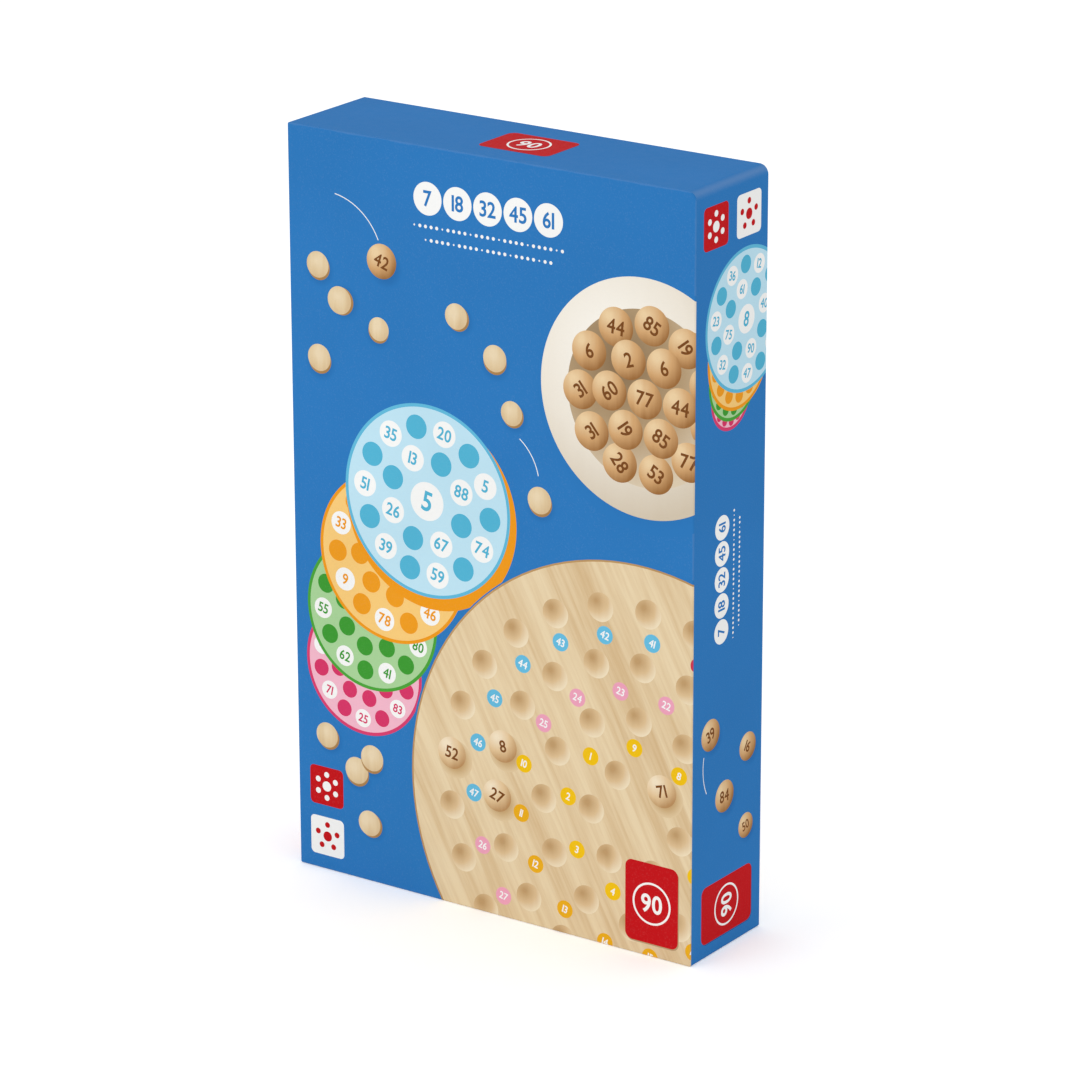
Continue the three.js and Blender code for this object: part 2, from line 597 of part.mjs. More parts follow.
/** The drawcord, a tube along its route. */
function buildDrawcord() {
  const route = new THREE.CatmullRomCurve3(CORD_ROUTE.map((point) => new THREE.Vector3(...point)));
  const section = new THREE.Shape();
  section.absarc(0, 0, CORD_RADIUS, 0, 2 * Math.PI, false);
  const settings = { steps: CORD_STEPS, extrudePath: route, curveSegments: CORD_SIDES / 2 };
  const tube = welded(new THREE.ExtrudeGeometry(section, settings));
  const cord = named('bag_drawcord', tube, 'cordCotton');
  cord.position.set(0, BAG_MIDDLE_Y, BAG_SHOULDER_Z);
  return cord;
}

/** The cards, upright one in front of the other, six of each colour. */
function buildCards() {
  const cards = new THREE.Group();
  const radii = Array(4).fill(CARD_CORNER_RADIUS);
  for (let index = 0; index < CARD_COUNT; index += 1) {
    const colour = CARD_COLOURS[Math.floor(index / CARDS_PER_COLOUR)];
    const outline = roundedOutline(CARD_LENGTH, CARD_HEIGHT, radii, CARD_CORNER_SEGMENTS);
    const sheet = plate(outline, CARD_THICKNESS).rotateX(QUARTER_TURN);
    const frontY = BACK_Y - CONTENT_BACK - CONTENT_DEPTH + CARD_AIR + index * CARD_PITCH;
    const number = String((index % CARDS_PER_COLOUR) + 1);
    const card = named(`card_${colour}_${number}`, sheet, `${colour}Card`);
    card.position.set(-CARD_LENGTH / 2, frontY, CARD_LOW_Z);
    cards.add(card);
  }
  return cards;
}

/** The tokens: rolls along X that lie one above the other on the upper rib. */
function buildTokens() {
  const tokens = new THREE.Group();
  for (let index = 0; index < TOKEN_ROLLS; index += 1) {
    const half = TOKEN_ROLL_LENGTH / 2;
    const body = rod(TOKEN_RADIUS, -half, half, TOKEN_SIDES).rotateY(QUARTER_TURN);
    const roll = named(`token_roll_${index + 1}`, body, 'tokenWood');
    const height = TOKEN_LOW_Z + TOKEN_RADIUS + index * (2 * TOKEN_RADIUS + SEAT_GAP);
    roll.position.set(0, BACK_Y - CONTENT_BACK - TOKEN_RADIUS, height);
    tokens.add(roll);
  }
  return tokens;
}

const game = new THREE.Group();
game.add(buildLid(), buildTray(), buildInsert(), buildLeaflet(), buildBoard());
game.add(buildBag(), buildDrawcord(), buildBalls(), buildCards(), buildTokens());

export default game;
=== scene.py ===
"""Looks of a boxed bingo game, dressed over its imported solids.

Sizes are in millimetres in the row frame: +X to the right of the box's front, +Y from the front to the back
and +Z up. A Draft turns them to metres when it becomes an object.
"""

import logging
import math
import random
from dataclasses import dataclass
from enum import Enum
from functools import cache
from itertools import pairwise
from typing import Callable, Iterable, Sequence

import bmesh
import bpy
from mathutils import Matrix, Vector, noise
from mathutils.geometry import delaunay_2d_cdt


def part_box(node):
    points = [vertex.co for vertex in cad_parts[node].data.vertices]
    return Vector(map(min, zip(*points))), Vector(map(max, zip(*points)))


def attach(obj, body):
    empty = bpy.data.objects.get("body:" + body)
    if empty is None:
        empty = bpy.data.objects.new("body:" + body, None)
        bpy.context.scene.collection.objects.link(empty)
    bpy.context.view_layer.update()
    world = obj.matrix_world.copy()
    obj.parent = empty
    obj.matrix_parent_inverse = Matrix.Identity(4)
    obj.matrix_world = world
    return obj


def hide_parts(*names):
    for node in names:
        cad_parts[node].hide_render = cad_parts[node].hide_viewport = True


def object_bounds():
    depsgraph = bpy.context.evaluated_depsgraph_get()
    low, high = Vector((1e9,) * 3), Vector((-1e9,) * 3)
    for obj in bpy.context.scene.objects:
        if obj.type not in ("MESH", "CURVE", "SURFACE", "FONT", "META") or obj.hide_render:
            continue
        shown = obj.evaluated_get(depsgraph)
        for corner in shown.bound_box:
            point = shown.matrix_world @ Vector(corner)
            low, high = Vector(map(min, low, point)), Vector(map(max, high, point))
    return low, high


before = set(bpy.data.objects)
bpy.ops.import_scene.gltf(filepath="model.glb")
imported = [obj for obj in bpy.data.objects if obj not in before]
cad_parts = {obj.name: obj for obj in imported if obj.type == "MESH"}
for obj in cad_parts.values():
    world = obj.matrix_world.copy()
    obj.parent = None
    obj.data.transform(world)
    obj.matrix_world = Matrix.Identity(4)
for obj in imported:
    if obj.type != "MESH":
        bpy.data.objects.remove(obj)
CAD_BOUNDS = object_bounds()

LOG = logging.getLogger("bingo_game")
MM = 0.001
TURN = 2 * math.pi
# Points of a welded piece that lie nearer than this are one, in millimetres.
WELD = 0.002
# The way inwards from each corner of a rectangle, anticlockwise from the lower left.
INWARDS = ((1, 1), (-1, 1), (-1, -1), (1, -1))
Point = tuple[float, ...]
Colour = tuple[float, float, float, float]
Place = Callable[[Point], Point]
Socket = bpy.types.NodeSocket


def linear(value: int, share: float = 1.0) -> Colour:
    """Turns an sRGB value such as 0x377CBD to a linear colour, made lighter or darker by a share."""
    parts = [((value >> shift) & 255) / 255 for shift in (16, 8, 0)]
    return (*[(p / 12.92 if p <= 0.04045 else ((p + 0.055) / 1.055) ** 2.4) * share for p in parts], 1.0)


def linked(name: str, data: bpy.types.ID) -> bpy.types.Object:
    """Makes an object and links it to the scene.

    Args:
        name: The object's name.
        data: Its mesh, curve, light or camera.

    Returns:
        The object.
    """
    made = bpy.data.objects.new(name, data)
    bpy.context.scene.collection.objects.link(made)
    return made


class NodeSheet:
    """The node tree of a new material or world, with short calls that add and join nodes."""

    def __init__(self, owner: bpy.types.Material | bpy.types.World) -> None:
        """Starts the tree with its plain shader.

        Args:
            owner: The material or world.
        """
        owner.use_nodes = True
        self.tree = owner.node_tree
        self.shader = self.tree.nodes.get("Principled BSDF") or self.tree.nodes["Background"]

    def add(self, kind: str, settings: dict | None = None, *values: object,
            **sockets: object) -> bpy.types.Node:
        """Adds a node.

        Args:
            kind: The node's type, without the words ShaderNode.
            settings: Its own settings by name.
            *values: Values or sockets for its inputs, from the first.
            **sockets: The same for inputs by name, with _ for a space.

        Returns:
            The new node.
        """
        node = self.tree.nodes.new("ShaderNode" + kind)
        for name, value in (settings or {}).items():
            setattr(node, name, value)
        for socket, value in zip(node.inputs, values):
            self.put(socket, value)
        for name, value in sockets.items():
            self.put(node.inputs[name.replace("_", " ")], value)
        return node

    def put(self, socket: Socket, value: object) -> None:
        """Links a socket to another, or gives it a value.

        Args:
            socket: The input.
            value: The other socket or the value.
        """
        if isinstance(value, Socket):
            self.tree.links.new(value, socket)
        else:
            socket.default_value = value

    def surface(self, **sockets: object) -> None:
        """Sets inputs of the shader, with _ for a space in an input's name."""
        for name, value in sockets.items():
            self.put(self.shader.inputs[name.replace("_", " ")], value)

    def math(self, operation: str, first: object, second: object = 0.0) -> Socket:
        """Gives the result of a sum of one or two values, such as MULTIPLY."""
        return self.add("Math", {"operation": operation}, first, second).outputs[0]

    def seen(self) -> Socket:
        """Gives 1 where the camera sees a place, also through glass, and 0 in light and gloss."""
        rays = self.add("LightPath").outputs
        return self.math("MAXIMUM", rays["Is Camera Ray"], rays["Is Transmission Ray"])

    def shares(self, first: Socket, second: Socket, share: float) -> Socket:
        """Gives a share of one value with the rest of another."""
        return self.math("ADD", self.math("MULTIPLY", first, share), self.math("MULTIPLY", second, 1 - share))

    def where(self, scale: Sequence[float] = (1, 1, 1), turn: float = 0.0) -> Socket:
        """Gives the place on the piece.

        Args:
            scale: A stretch for each axis, after the turn.
            turn: A turn about Y in degrees.

        Returns:
            The place, in metres before the stretch.
        """
        place = self.add("TexCoord").outputs["Object"]
        if turn:
            place = self.add("Mapping", Vector=place, Rotation=(0, math.radians(turn), 0)).outputs["Vector"]
        return self.add("Mapping", Vector=place, Scale=tuple(scale)).outputs["Vector"]

    def noise(self, scale: float, stretch: Sequence[float] = (1, 1, 1), detail: float = 3.0,
              roughness: float = 0.5, distortion: float = 0.0, turn: float = 0.0) -> Socket:
        """Gives smooth noise from 0 to 1 over the piece, from its waves to the metre and a turn about Y."""
        return self.add("TexNoise", Vector=self.where(stretch, turn), Scale=scale, Detail=detail,
                        Roughness=roughness, Distortion=distortion).outputs["Fac"]

    def ramp(self, factor: Socket, *stops: tuple[float, Colour]) -> Socket:
        """Gives a colour that follows a factor.

        Args:
            factor: The factor.
            *stops: Pairs of a place from 0 to 1 and the colour there.

        Returns:
            The colour.
        """
        node = self.add("ValToRGB", Fac=factor)
        elements = node.color_ramp.elements
        for index, (place, colour) in enumerate(stops):
            element = elements[index] if index < len(elements) else elements.new(place)
            element.position = place
            element.color = colour
        return node.outputs["Color"]

    def blend(self, factor: object, first: object, second: object) -> Socket:
        """Gives a mix of two colours.

        Args:
            factor: How much of the second colour shows.
            first: The first colour or socket.
            second: The second.

        Returns:
            The mixed colour.
        """
        node = self.add("Mix", {"data_type": "RGBA"})
        for socket, value in zip((node.inputs[0], node.inputs[6], node.inputs[7]), (factor, first, second)):
            self.put(socket, value)
        return node.outputs[2]

    def spread(self, value: object, low: float, high: float, start: float = 0.0, end: float = 1.0,
               kind: str = "LINEAR") -> Socket:
        """Gives a value that follows another, from low at the start to high at the end."""
        sockets = {"Value": value, "From_Min": start, "From_Max": end, "To_Min": low, "To_Max": high}
        return self.add("MapRange", {"interpolation_type": kind}, **sockets).outputs["Result"]

    def relief(self, height: object, depth: float, strength: float = 1.0) -> None:
        """Raises the surface by a height from 0 to 1, where 1 is worth a depth in millimetres."""
        bump = self.add("Bump", Height=height, Strength=strength, Distance=depth * MM)
        self.surface(Normal=bump.outputs["Normal"])

    def film(self, roughness: object) -> None:
        """Lays the satin film of printed card over the colours."""
        self.surface(Roughness=roughness, Specular_IOR_Level=0.02)
        self.relief(self.noise(900, detail=2), 0.02, 0.3)


class Finish:
    """A surface finish. Each kind dresses its material once."""

    _made: dict = {}

    def material(self) -> bpy.types.Material:
        """Dresses the finish's material at its first use.

        Returns:
            The material.
        """
        if self not in self._made:
            self._made[self] = bpy.data.materials.new(self.name)
            self.dress(NodeSheet(self._made[self]))
        return self._made[self]

    def dress(self, sheet: NodeSheet) -> None:
        """Lays the finish on a new material's sheet."""
        raise NotImplementedError


@dataclass(frozen=True)
class CutOut(Finish):
    """No finish: the region that has it is left open."""

    name: str = "cut_out"


@dataclass(frozen=True)
class PrintedInk(Finish):
    """One flat ink under a satin film on card, faintly uneven and a touch paler where the box's edges rub."""

    name: str
    colour: int
    # How much paler the ink gets where its mask is full: real rub at the box's edges, and on the lid's bend a
    # painted highlight.
    wear: float = 0.06

    def dress(self, sheet: NodeSheet) -> None:
        """Lays the film over the ink.

        Args:
            sheet: The material's sheet.
        """
        tone = sheet.ramp(sheet.noise(14, detail=2), (0.3, linear(self.colour, 0.97)),
                          (0.7, linear(self.colour, 1.03)))
        speck = sheet.spread(sheet.noise(1500, detail=1), 0.0, 0.02, 0.55, 0.75)
        inked = sheet.blend(speck, tone, linear(0xFFFFFF, 0.9))
        # Paler towards an off-white by the mask: real rub at the edges, or the painted highlight along the
        # lid's bend.
        rub_and_highlight = sheet.math("MULTIPLY", self.nearness(sheet), self.wear)
        sheet.surface(Base_Color=sheet.blend(rub_and_highlight, inked, linear(0xF4F4F2, 0.95)))
        sheet.film(sheet.spread(sheet.noise(260), 0.45, 0.57))

    def nearness(self, sheet: NodeSheet) -> Socket:
        """Gives how near a place is to an edge of the closed box, a little uneven.

        Args:
            sheet: The sheet of the material that wears.

        Returns:
            1 on an edge and 0 off it, worked out from the place on the box alone.
        """
        parts = sheet.add("SeparateXYZ", Vector=sheet.where()).outputs
        gaps = []
        for part, low, high in zip(parts, *CAD_BOUNDS):
            away = sheet.math("ABSOLUTE", sheet.math("SUBTRACT", part, (low + high) / 2))
            gaps.append(sheet.math("SUBTRACT", (high - low) / 2, away))
        least = sheet.math("MINIMUM", gaps[0], gaps[1])
        most = sheet.math("MAXIMUM", gaps[0], gaps[1])
        second = sheet.math("MAXIMUM", least, sheet.math("MINIMUM", most, gaps[2]))
        uneven = sheet.spread(sheet.noise(160), 0.6, 1.2, 0.35, 0.65)
        width = sheet.math("MULTIPLY", uneven, 0.9 * MM)
        return sheet.spread(second, 1.0, 0.0, 0.0, width)


@dataclass(frozen=True)
class BentInk(PrintedInk):
    """The same ink over the lid's rounded corner, with a painted highlight: paler along the middle of the
    bend.
    """

    reach: float = 4.5

    def nearness(self, sheet: NodeSheet) -> Socket:
        """Gives the mask of the painted highlight, by how near a place is to the middle of the bend.

        Args:
            sheet: The sheet of the material.

        Returns:
            1 along the middle of the bend and 0 at its ends.
        """
        high = CAD_BOUNDS[1]
        parts = sheet.add("SeparateXYZ", Vector=sheet.where()).outputs
        slant = sheet.math("SUBTRACT", sheet.math("SUBTRACT", parts[0], parts[2]), high[0] - high[2])
        return sheet.spread(sheet.math("ABSOLUTE", slant), 1.0, 0.0, 0.0, self.reach * MM, "SMOOTHSTEP")


@dataclass(frozen=True)
class PrintedWood(Finish):
    """A picture of pale wood with long grain lines, under the same film."""

    name: str
    light: int
    dark: int
    turn: float
    stretch: Point = (60, 60, 3.2)

    def dress(self, sheet: NodeSheet) -> None:
        """Lays the printed grain.

        Args:
            sheet: The material's sheet.
        """
        broad = sheet.noise(1.6, self.stretch, 4, 0.55, 0.6, self.turn)
        fine = sheet.noise(9, self.stretch, 4, 0.6, turn=self.turn)
        grain = sheet.shares(broad, fine, 0.65)
        sheet.surface(Base_Color=sheet.ramp(grain, (0.34, linear(self.dark)), (0.6, linear(self.light))))
        sheet.film(sheet.spread(sheet.noise(260), 0.45, 0.57))


@dataclass(frozen=True)
class PrintedRound(Finish):
    """A picture of something round, lit from one side: a ball, a token, a pit or a soft shadow."""

    name: str
    light: int
    middle: int
    dark: int
    towards: tuple[float, float] = (-0.42, 0.5)
    grain: float = 0.12

    def dress(self, sheet: NodeSheet) -> None:
        """Shades by the distance from the lit side, in the picture's own coordinates.

        Args:
            sheet: The material's sheet.
        """
        spot = sheet.add("UVMap", {"uv_map": "print"}).outputs["UV"]
        away = sheet.add("VectorMath", {"operation": "DISTANCE"}, spot, (*self.towards, 0))
        lines = sheet.noise(260, (1, 1, 0.12), 4)
        uneven = sheet.math("MULTIPLY", sheet.math("SUBTRACT", lines, 0.5), self.grain * 4)
        shade = sheet.spread(sheet.math("ADD", away.outputs["Value"], uneven), 0, 1, 0,
                             1 + math.hypot(*self.towards))
        sheet.surface(Base_Color=sheet.ramp(shade, (0.08, linear(self.light)), (0.55, linear(self.middle)),
                                            (0.96, linear(self.dark))))
        sheet.film(0.5)


@dataclass(frozen=True)
class RawBoard(Finish):
    """Uncoated or lined board, with fibres and a soft tooth."""

    name: str
    colour: int
    fleck: int
    tooth: float = 0.05

    def dress(self, sheet: NodeSheet) -> None:
        """Lays the fibres and the tooth.

        Args:
            sheet: The material's sheet.
        """
        cloudy = sheet.noise(22)
        tone = sheet.ramp(cloudy, (0.3, linear(self.colour, 0.94)), (0.7, linear(self.colour, 1.02)))
        fibre = sheet.spread(sheet.noise(1100, (1, 1, 0.35), 4, 0.65), 0, 0.55, 0.58, 0.72)
        sheet.surface(Base_Color=sheet.blend(fibre, tone, linear(self.fleck)))
        sheet.surface(Roughness=sheet.spread(cloudy, 0.78, 0.9), Specular_IOR_Level=0.25)
        sheet.relief(sheet.noise(1400, detail=4, roughness=0.6), self.tooth, 0.6)


@dataclass(frozen=True)
class Wood(Finish):
    """Pale beech: long grain along one axis, short dark flecks and a satin varnish."""

    name: str
    light: int
    dark: int
    along: tuple[float, float, float] = (60, 60, 4)
    gloss: float = 0.42
    fleck: float = 0.5

    def dress(self, sheet: NodeSheet) -> None:
        """Lays the grain, the flecks and the varnish.

        Args:
            sheet: The material's sheet.
        """
        fine = sheet.noise(7.0, self.along, 5, 0.65)
        grain = sheet.shares(sheet.noise(1.0, self.along, 4, distortion=0.7), fine, 0.62)
        tone = sheet.ramp(grain, (0.36, linear(self.dark)), (0.5, linear(self.light, 0.93)),
                          (0.64, linear(self.light)))
        spots = sheet.noise(1.1, [value * 16 for value in self.along], 2)
        factor = sheet.spread(spots, 0, self.fleck, 0.62, 0.74)
        sheet.surface(Base_Color=sheet.blend(factor, tone, linear(self.dark, 0.72)), Specular_IOR_Level=0.4)
        sheet.surface(Roughness=sheet.spread(fine, self.gloss - 0.04, self.gloss + 0.14))
        sheet.relief(grain, 0.12, 0.5)


@dataclass(frozen=True)
class WovenCotton(Finish):
    """Unbleached plain weave, with thick and thin threads and brown specks of husk."""

    name: str
    colour: int
    threads: float = 2000.0

    def dress(self, sheet: NodeSheet) -> None:
        """Lays the crossing threads and their relief.

        Args:
            sheet: The material's sheet.
        """
        parts = sheet.add("SeparateXYZ", Vector=sheet.where()).outputs
        bent = sheet.math("MULTIPLY", sheet.math("SUBTRACT", sheet.noise(60), 0.5), 3.0)
        waves = []
        for part in (parts[0], parts[2]):
            phase = sheet.math("ADD", sheet.math("MULTIPLY", part, TURN * self.threads / 2), bent)
            waves.append(sheet.math("MULTIPLY", sheet.math("ADD", sheet.math("SINE", phase), 1), 0.5))
        weave = sheet.math("MAXIMUM", waves[0], sheet.math("SUBTRACT", 1.0, waves[1]))
        body = sheet.shares(weave, sheet.noise(420, (0.12, 1, 1), 4, 0.7), 0.5)
        tone = sheet.ramp(body, (0.25, linear(self.colour, 0.8)), (0.65, linear(self.colour)))
        husk = sheet.spread(sheet.noise(900, detail=1), 0, 0.5, 0.76, 0.82)
        sheet.surface(Base_Color=sheet.blend(husk, tone, linear(0xA9865A)))
        sheet.surface(Roughness=0.92, Specular_IOR_Level=0.15, Sheen_Weight=0.25, Sheen_Roughness=0.5)
        sheet.relief(body, 0.18, 0.7)


@dataclass(frozen=True)
class PlatedSteel(Finish):
    """Nickel-plated steel, lightly brushed, with dull spots."""

    name: str
    colour: int = 0xC9C8C4

    def dress(self, sheet: NodeSheet) -> None:
        """Lays the brushed plating.

        Args:
            sheet: The material's sheet.
        """
        brushed = sheet.noise(700, (1, 1, 0.06), 4)
        plating = sheet.ramp(sheet.noise(240), (0.3, linear(self.colour, 0.86)), (0.7, linear(self.colour)))
        sheet.surface(Base_Color=plating, Roughness=sheet.spread(brushed, 0.2, 0.38), Metallic=1.0)
        sheet.relief(brushed, 0.02, 0.5)


class Ink(Enum):
    """The printed colours and pictures of the box and its cards."""

    BLUE = PrintedInk("print_blue", 0x2F79BD)
    # The lid's bend ink carries a painted highlight, paler along the middle of the rounded corner.
    BLUE_BEND = BentInk("print_blue_bend_highlight", 0x2F79BD, 0.08)
    BLUE_SHADE = PrintedInk("print_blue_shade", 0x245F98)
    WOOD_SHADE = PrintedInk("print_wood_shade", 0xB79D76)
    WHITE = PrintedInk("print_white", 0xF7F7F5)
    RED = PrintedInk("print_red", 0xC4161C)
    YELLOW = PrintedInk("print_yellow", 0xF3C316)
    AMBER = PrintedInk("print_amber", 0xEBAE1E)
    ROSE = PrintedInk("print_rose", 0xEFA3BC)
    CRIMSON = PrintedInk("print_crimson", 0xCF2A4E)
    SKY = PrintedInk("print_sky", 0x67BDE0)
    NAVY = PrintedInk("print_navy", 0x1D5C9E)
    LIME = PrintedInk("print_lime", 0xA9C938)
    LEAF = PrintedInk("print_leaf", 0x3F9B46)
    PLUM = PrintedInk("print_plum", 0x7B5AA6)
    BLUE_RIM = PrintedInk("card_blue_rim", 0x62B9DA)
    BLUE_PALE = PrintedInk("card_blue_pale", 0xBFE3F2)
    BLUE_FULL = PrintedInk("card_blue_full", 0x54B4D4)
    ORANGE_RIM = PrintedInk("card_orange_rim", 0xEF9A1D)
    ORANGE_PALE = PrintedInk("card_orange_pale", 0xF8CC7C)
    ORANGE_FULL = PrintedInk("card_orange_full", 0xEE9C22)
    GREEN_RIM = PrintedInk("card_green_rim", 0x4BA33B)
    GREEN_PALE = PrintedInk("card_green_pale", 0xA9D39A)
    GREEN_FULL = PrintedInk("card_green_full", 0x3F9A35)
    PINK_RIM = PrintedInk("card_pink_rim", 0xD8406F)
    PINK_PALE = PrintedInk("card_pink_pale", 0xF3B9CB)
    PINK_FULL = PrintedInk("card_pink_full", 0xD63868)
    GREY_TEXT = PrintedInk("print_grey", 0x8A9299)
    BURNT = PrintedInk("print_burnt", 0x7A4A22)
    WOOD = PrintedWood("print_wood", 0xEBD6B0, 0xD6B88C, 28)
    TOKEN = PrintedRound("print_token", 0xEBD7B4, 0xE2CAA2, 0xD8BC92, (-0.2, 0.3), 0.55)
    TOKEN_EDGE = PrintedRound("print_token_edge", 0xC39C6A, 0xB78E5C, 0xA98050)
    BALL = PrintedRound("print_ball", 0xEDD0A4, 0xD3A673, 0x9C6C3D)
    BALL_PALE = PrintedRound("print_ball_pale", 0xF5E4C6, 0xE3C497, 0xB98E5E)
    WOOD_SHADOW = PrintedRound("print_wood_shadow", 0xB08A5B, 0xC9A878, 0xE0C79E, (0, 0), 0.0)
    PIT = PrintedRound("print_pit", 0xC19D6E, 0xDDBF93, 0xF1E0C0, (-0.35, 0.4), 0.1)
    BOWL = PrintedRound("print_bowl", 0xFBF7EE, 0xEEE6D8, 0xD2C4AE, (-0.3, 0.35), 0.02)
    BOWL_INSIDE = PrintedRound("print_bowl_inside", 0x8E7556, 0xB59B78, 0xDCCBB0, (-0.3, 0.35), 0.02)
    HOLE = CutOut()
    SHADOW = PrintedRound("print_shadow", 0x225F9B, 0x2A6EAF, 0x2F79BD, (0, 0), 0.0)


class CardColour(Enum):
    """The four colours of the cards: the inks of each one's rim, ground and filled discs."""

    BLUE = (Ink.BLUE_RIM, Ink.BLUE_PALE, Ink.BLUE_FULL)
    ORANGE = (Ink.ORANGE_RIM, Ink.ORANGE_PALE, Ink.ORANGE_FULL)
    GREEN = (Ink.GREEN_RIM, Ink.GREEN_PALE, Ink.GREEN_FULL)
    PINK = (Ink.PINK_RIM, Ink.PINK_PALE, Ink.PINK_FULL)


class Wooden(Enum):
    """The kinds of bare or varnished wood in the box."""

    BOARD = Wood("board_beech", 0xEAD3AC, 0xD2B286)
    PIT = Wood("board_pit", 0xE3C99E, 0xC9A877, gloss=0.5)
    BALL = Wood("ball_wood", 0xDDBB8A, 0xC09765, (70, 70, 22), 0.4, 0.35)
    TOKEN_PALE = Wood("token_pale", 0xE8D2AC, 0xD0B084, (7, 90, 26), 0.55)
    TOKEN_WARM = Wood("token_warm", 0xDFC398, 0xC3A071, (9, 80, 22), 0.55)
    TOKEN_DEEP = Wood("token_deep", 0xD6B88A, 0xB89465, (8, 24, 86), 0.55)


TENS = (Ink.YELLOW, Ink.AMBER, Ink.ROSE, Ink.CRIMSON, Ink.SKY, Ink.NAVY, Ink.LIME, Ink.LEAF, Ink.PLUM)
WHITE_BOARD = RawBoard("board_white", 0xF3F1EC, 0xE4DFD3)
GREY_BOARD = RawBoard("board_grey", 0xE6E0D4, 0xC9BFAC, 0.09)


def ink_of_number(number: int) -> Ink:
    """Gives the dot colour of a number from 1 to 90, nine colours of ten numbers."""
    return TENS[(number - 1) // 10]


def polar(at: Point, reach: float, degrees: float) -> Point:
    """Gives the point at a distance and an angle from another."""
    turn = math.radians(degrees)
    return (at[0] + reach * math.cos(turn), at[1] + reach * math.sin(turn))


def arc_points(at: Point, radius: float, start: float, end: float, steps: int) -> list[Point]:
    """Gives points along an arc, one more than its steps, at angles in degrees from +X."""
    return [polar(at, radius, start + (end - start) * step / steps) for step in range(steps + 1)]


def circle(at: Point, radius: float, sides: int) -> list[Point]:
    """Gives a circle's points, anticlockwise."""
    return arc_points(at, radius, 0, 360, sides)[:-1]


def corners_of(low: Point, high: Point) -> list[Point]:
    """Gives a rectangle's corners, anticlockwise from the lower left."""
    return [(low[0], low[1]), (high[0], low[1]), (high[0], high[1]), (low[0], high[1])]


def rounded_outline(low: Point, high: Point, radii: Sequence[float], steps: int = 6) -> list[Point]:
    """Gives a rectangle with its own radius at each corner.

    Args:
        low: The lower left corner.
        high: The upper right corner.
        radii: Radii from the lower left corner anticlockwise.
        steps: Chords in each rounded corner.

    Returns:
        The outline, anticlockwise.
    """
    points: list[Point] = []
    for index, ((x, y), (right, up), radius) in enumerate(zip(corners_of(low, high), INWARDS, radii)):
        start = 180 + 90 * index
        points += arc_points((x + right * radius, y + up * radius), radius, start, start + 90, steps)
    return points


def signed_area(points: Sequence[Point]) -> float:
    """Gives an outline's area, above 0 where it runs anticlockwise."""
    return sum(a[0] * b[1] - b[0] * a[1] for a, b in pairwise([*points, points[0]])) / 2


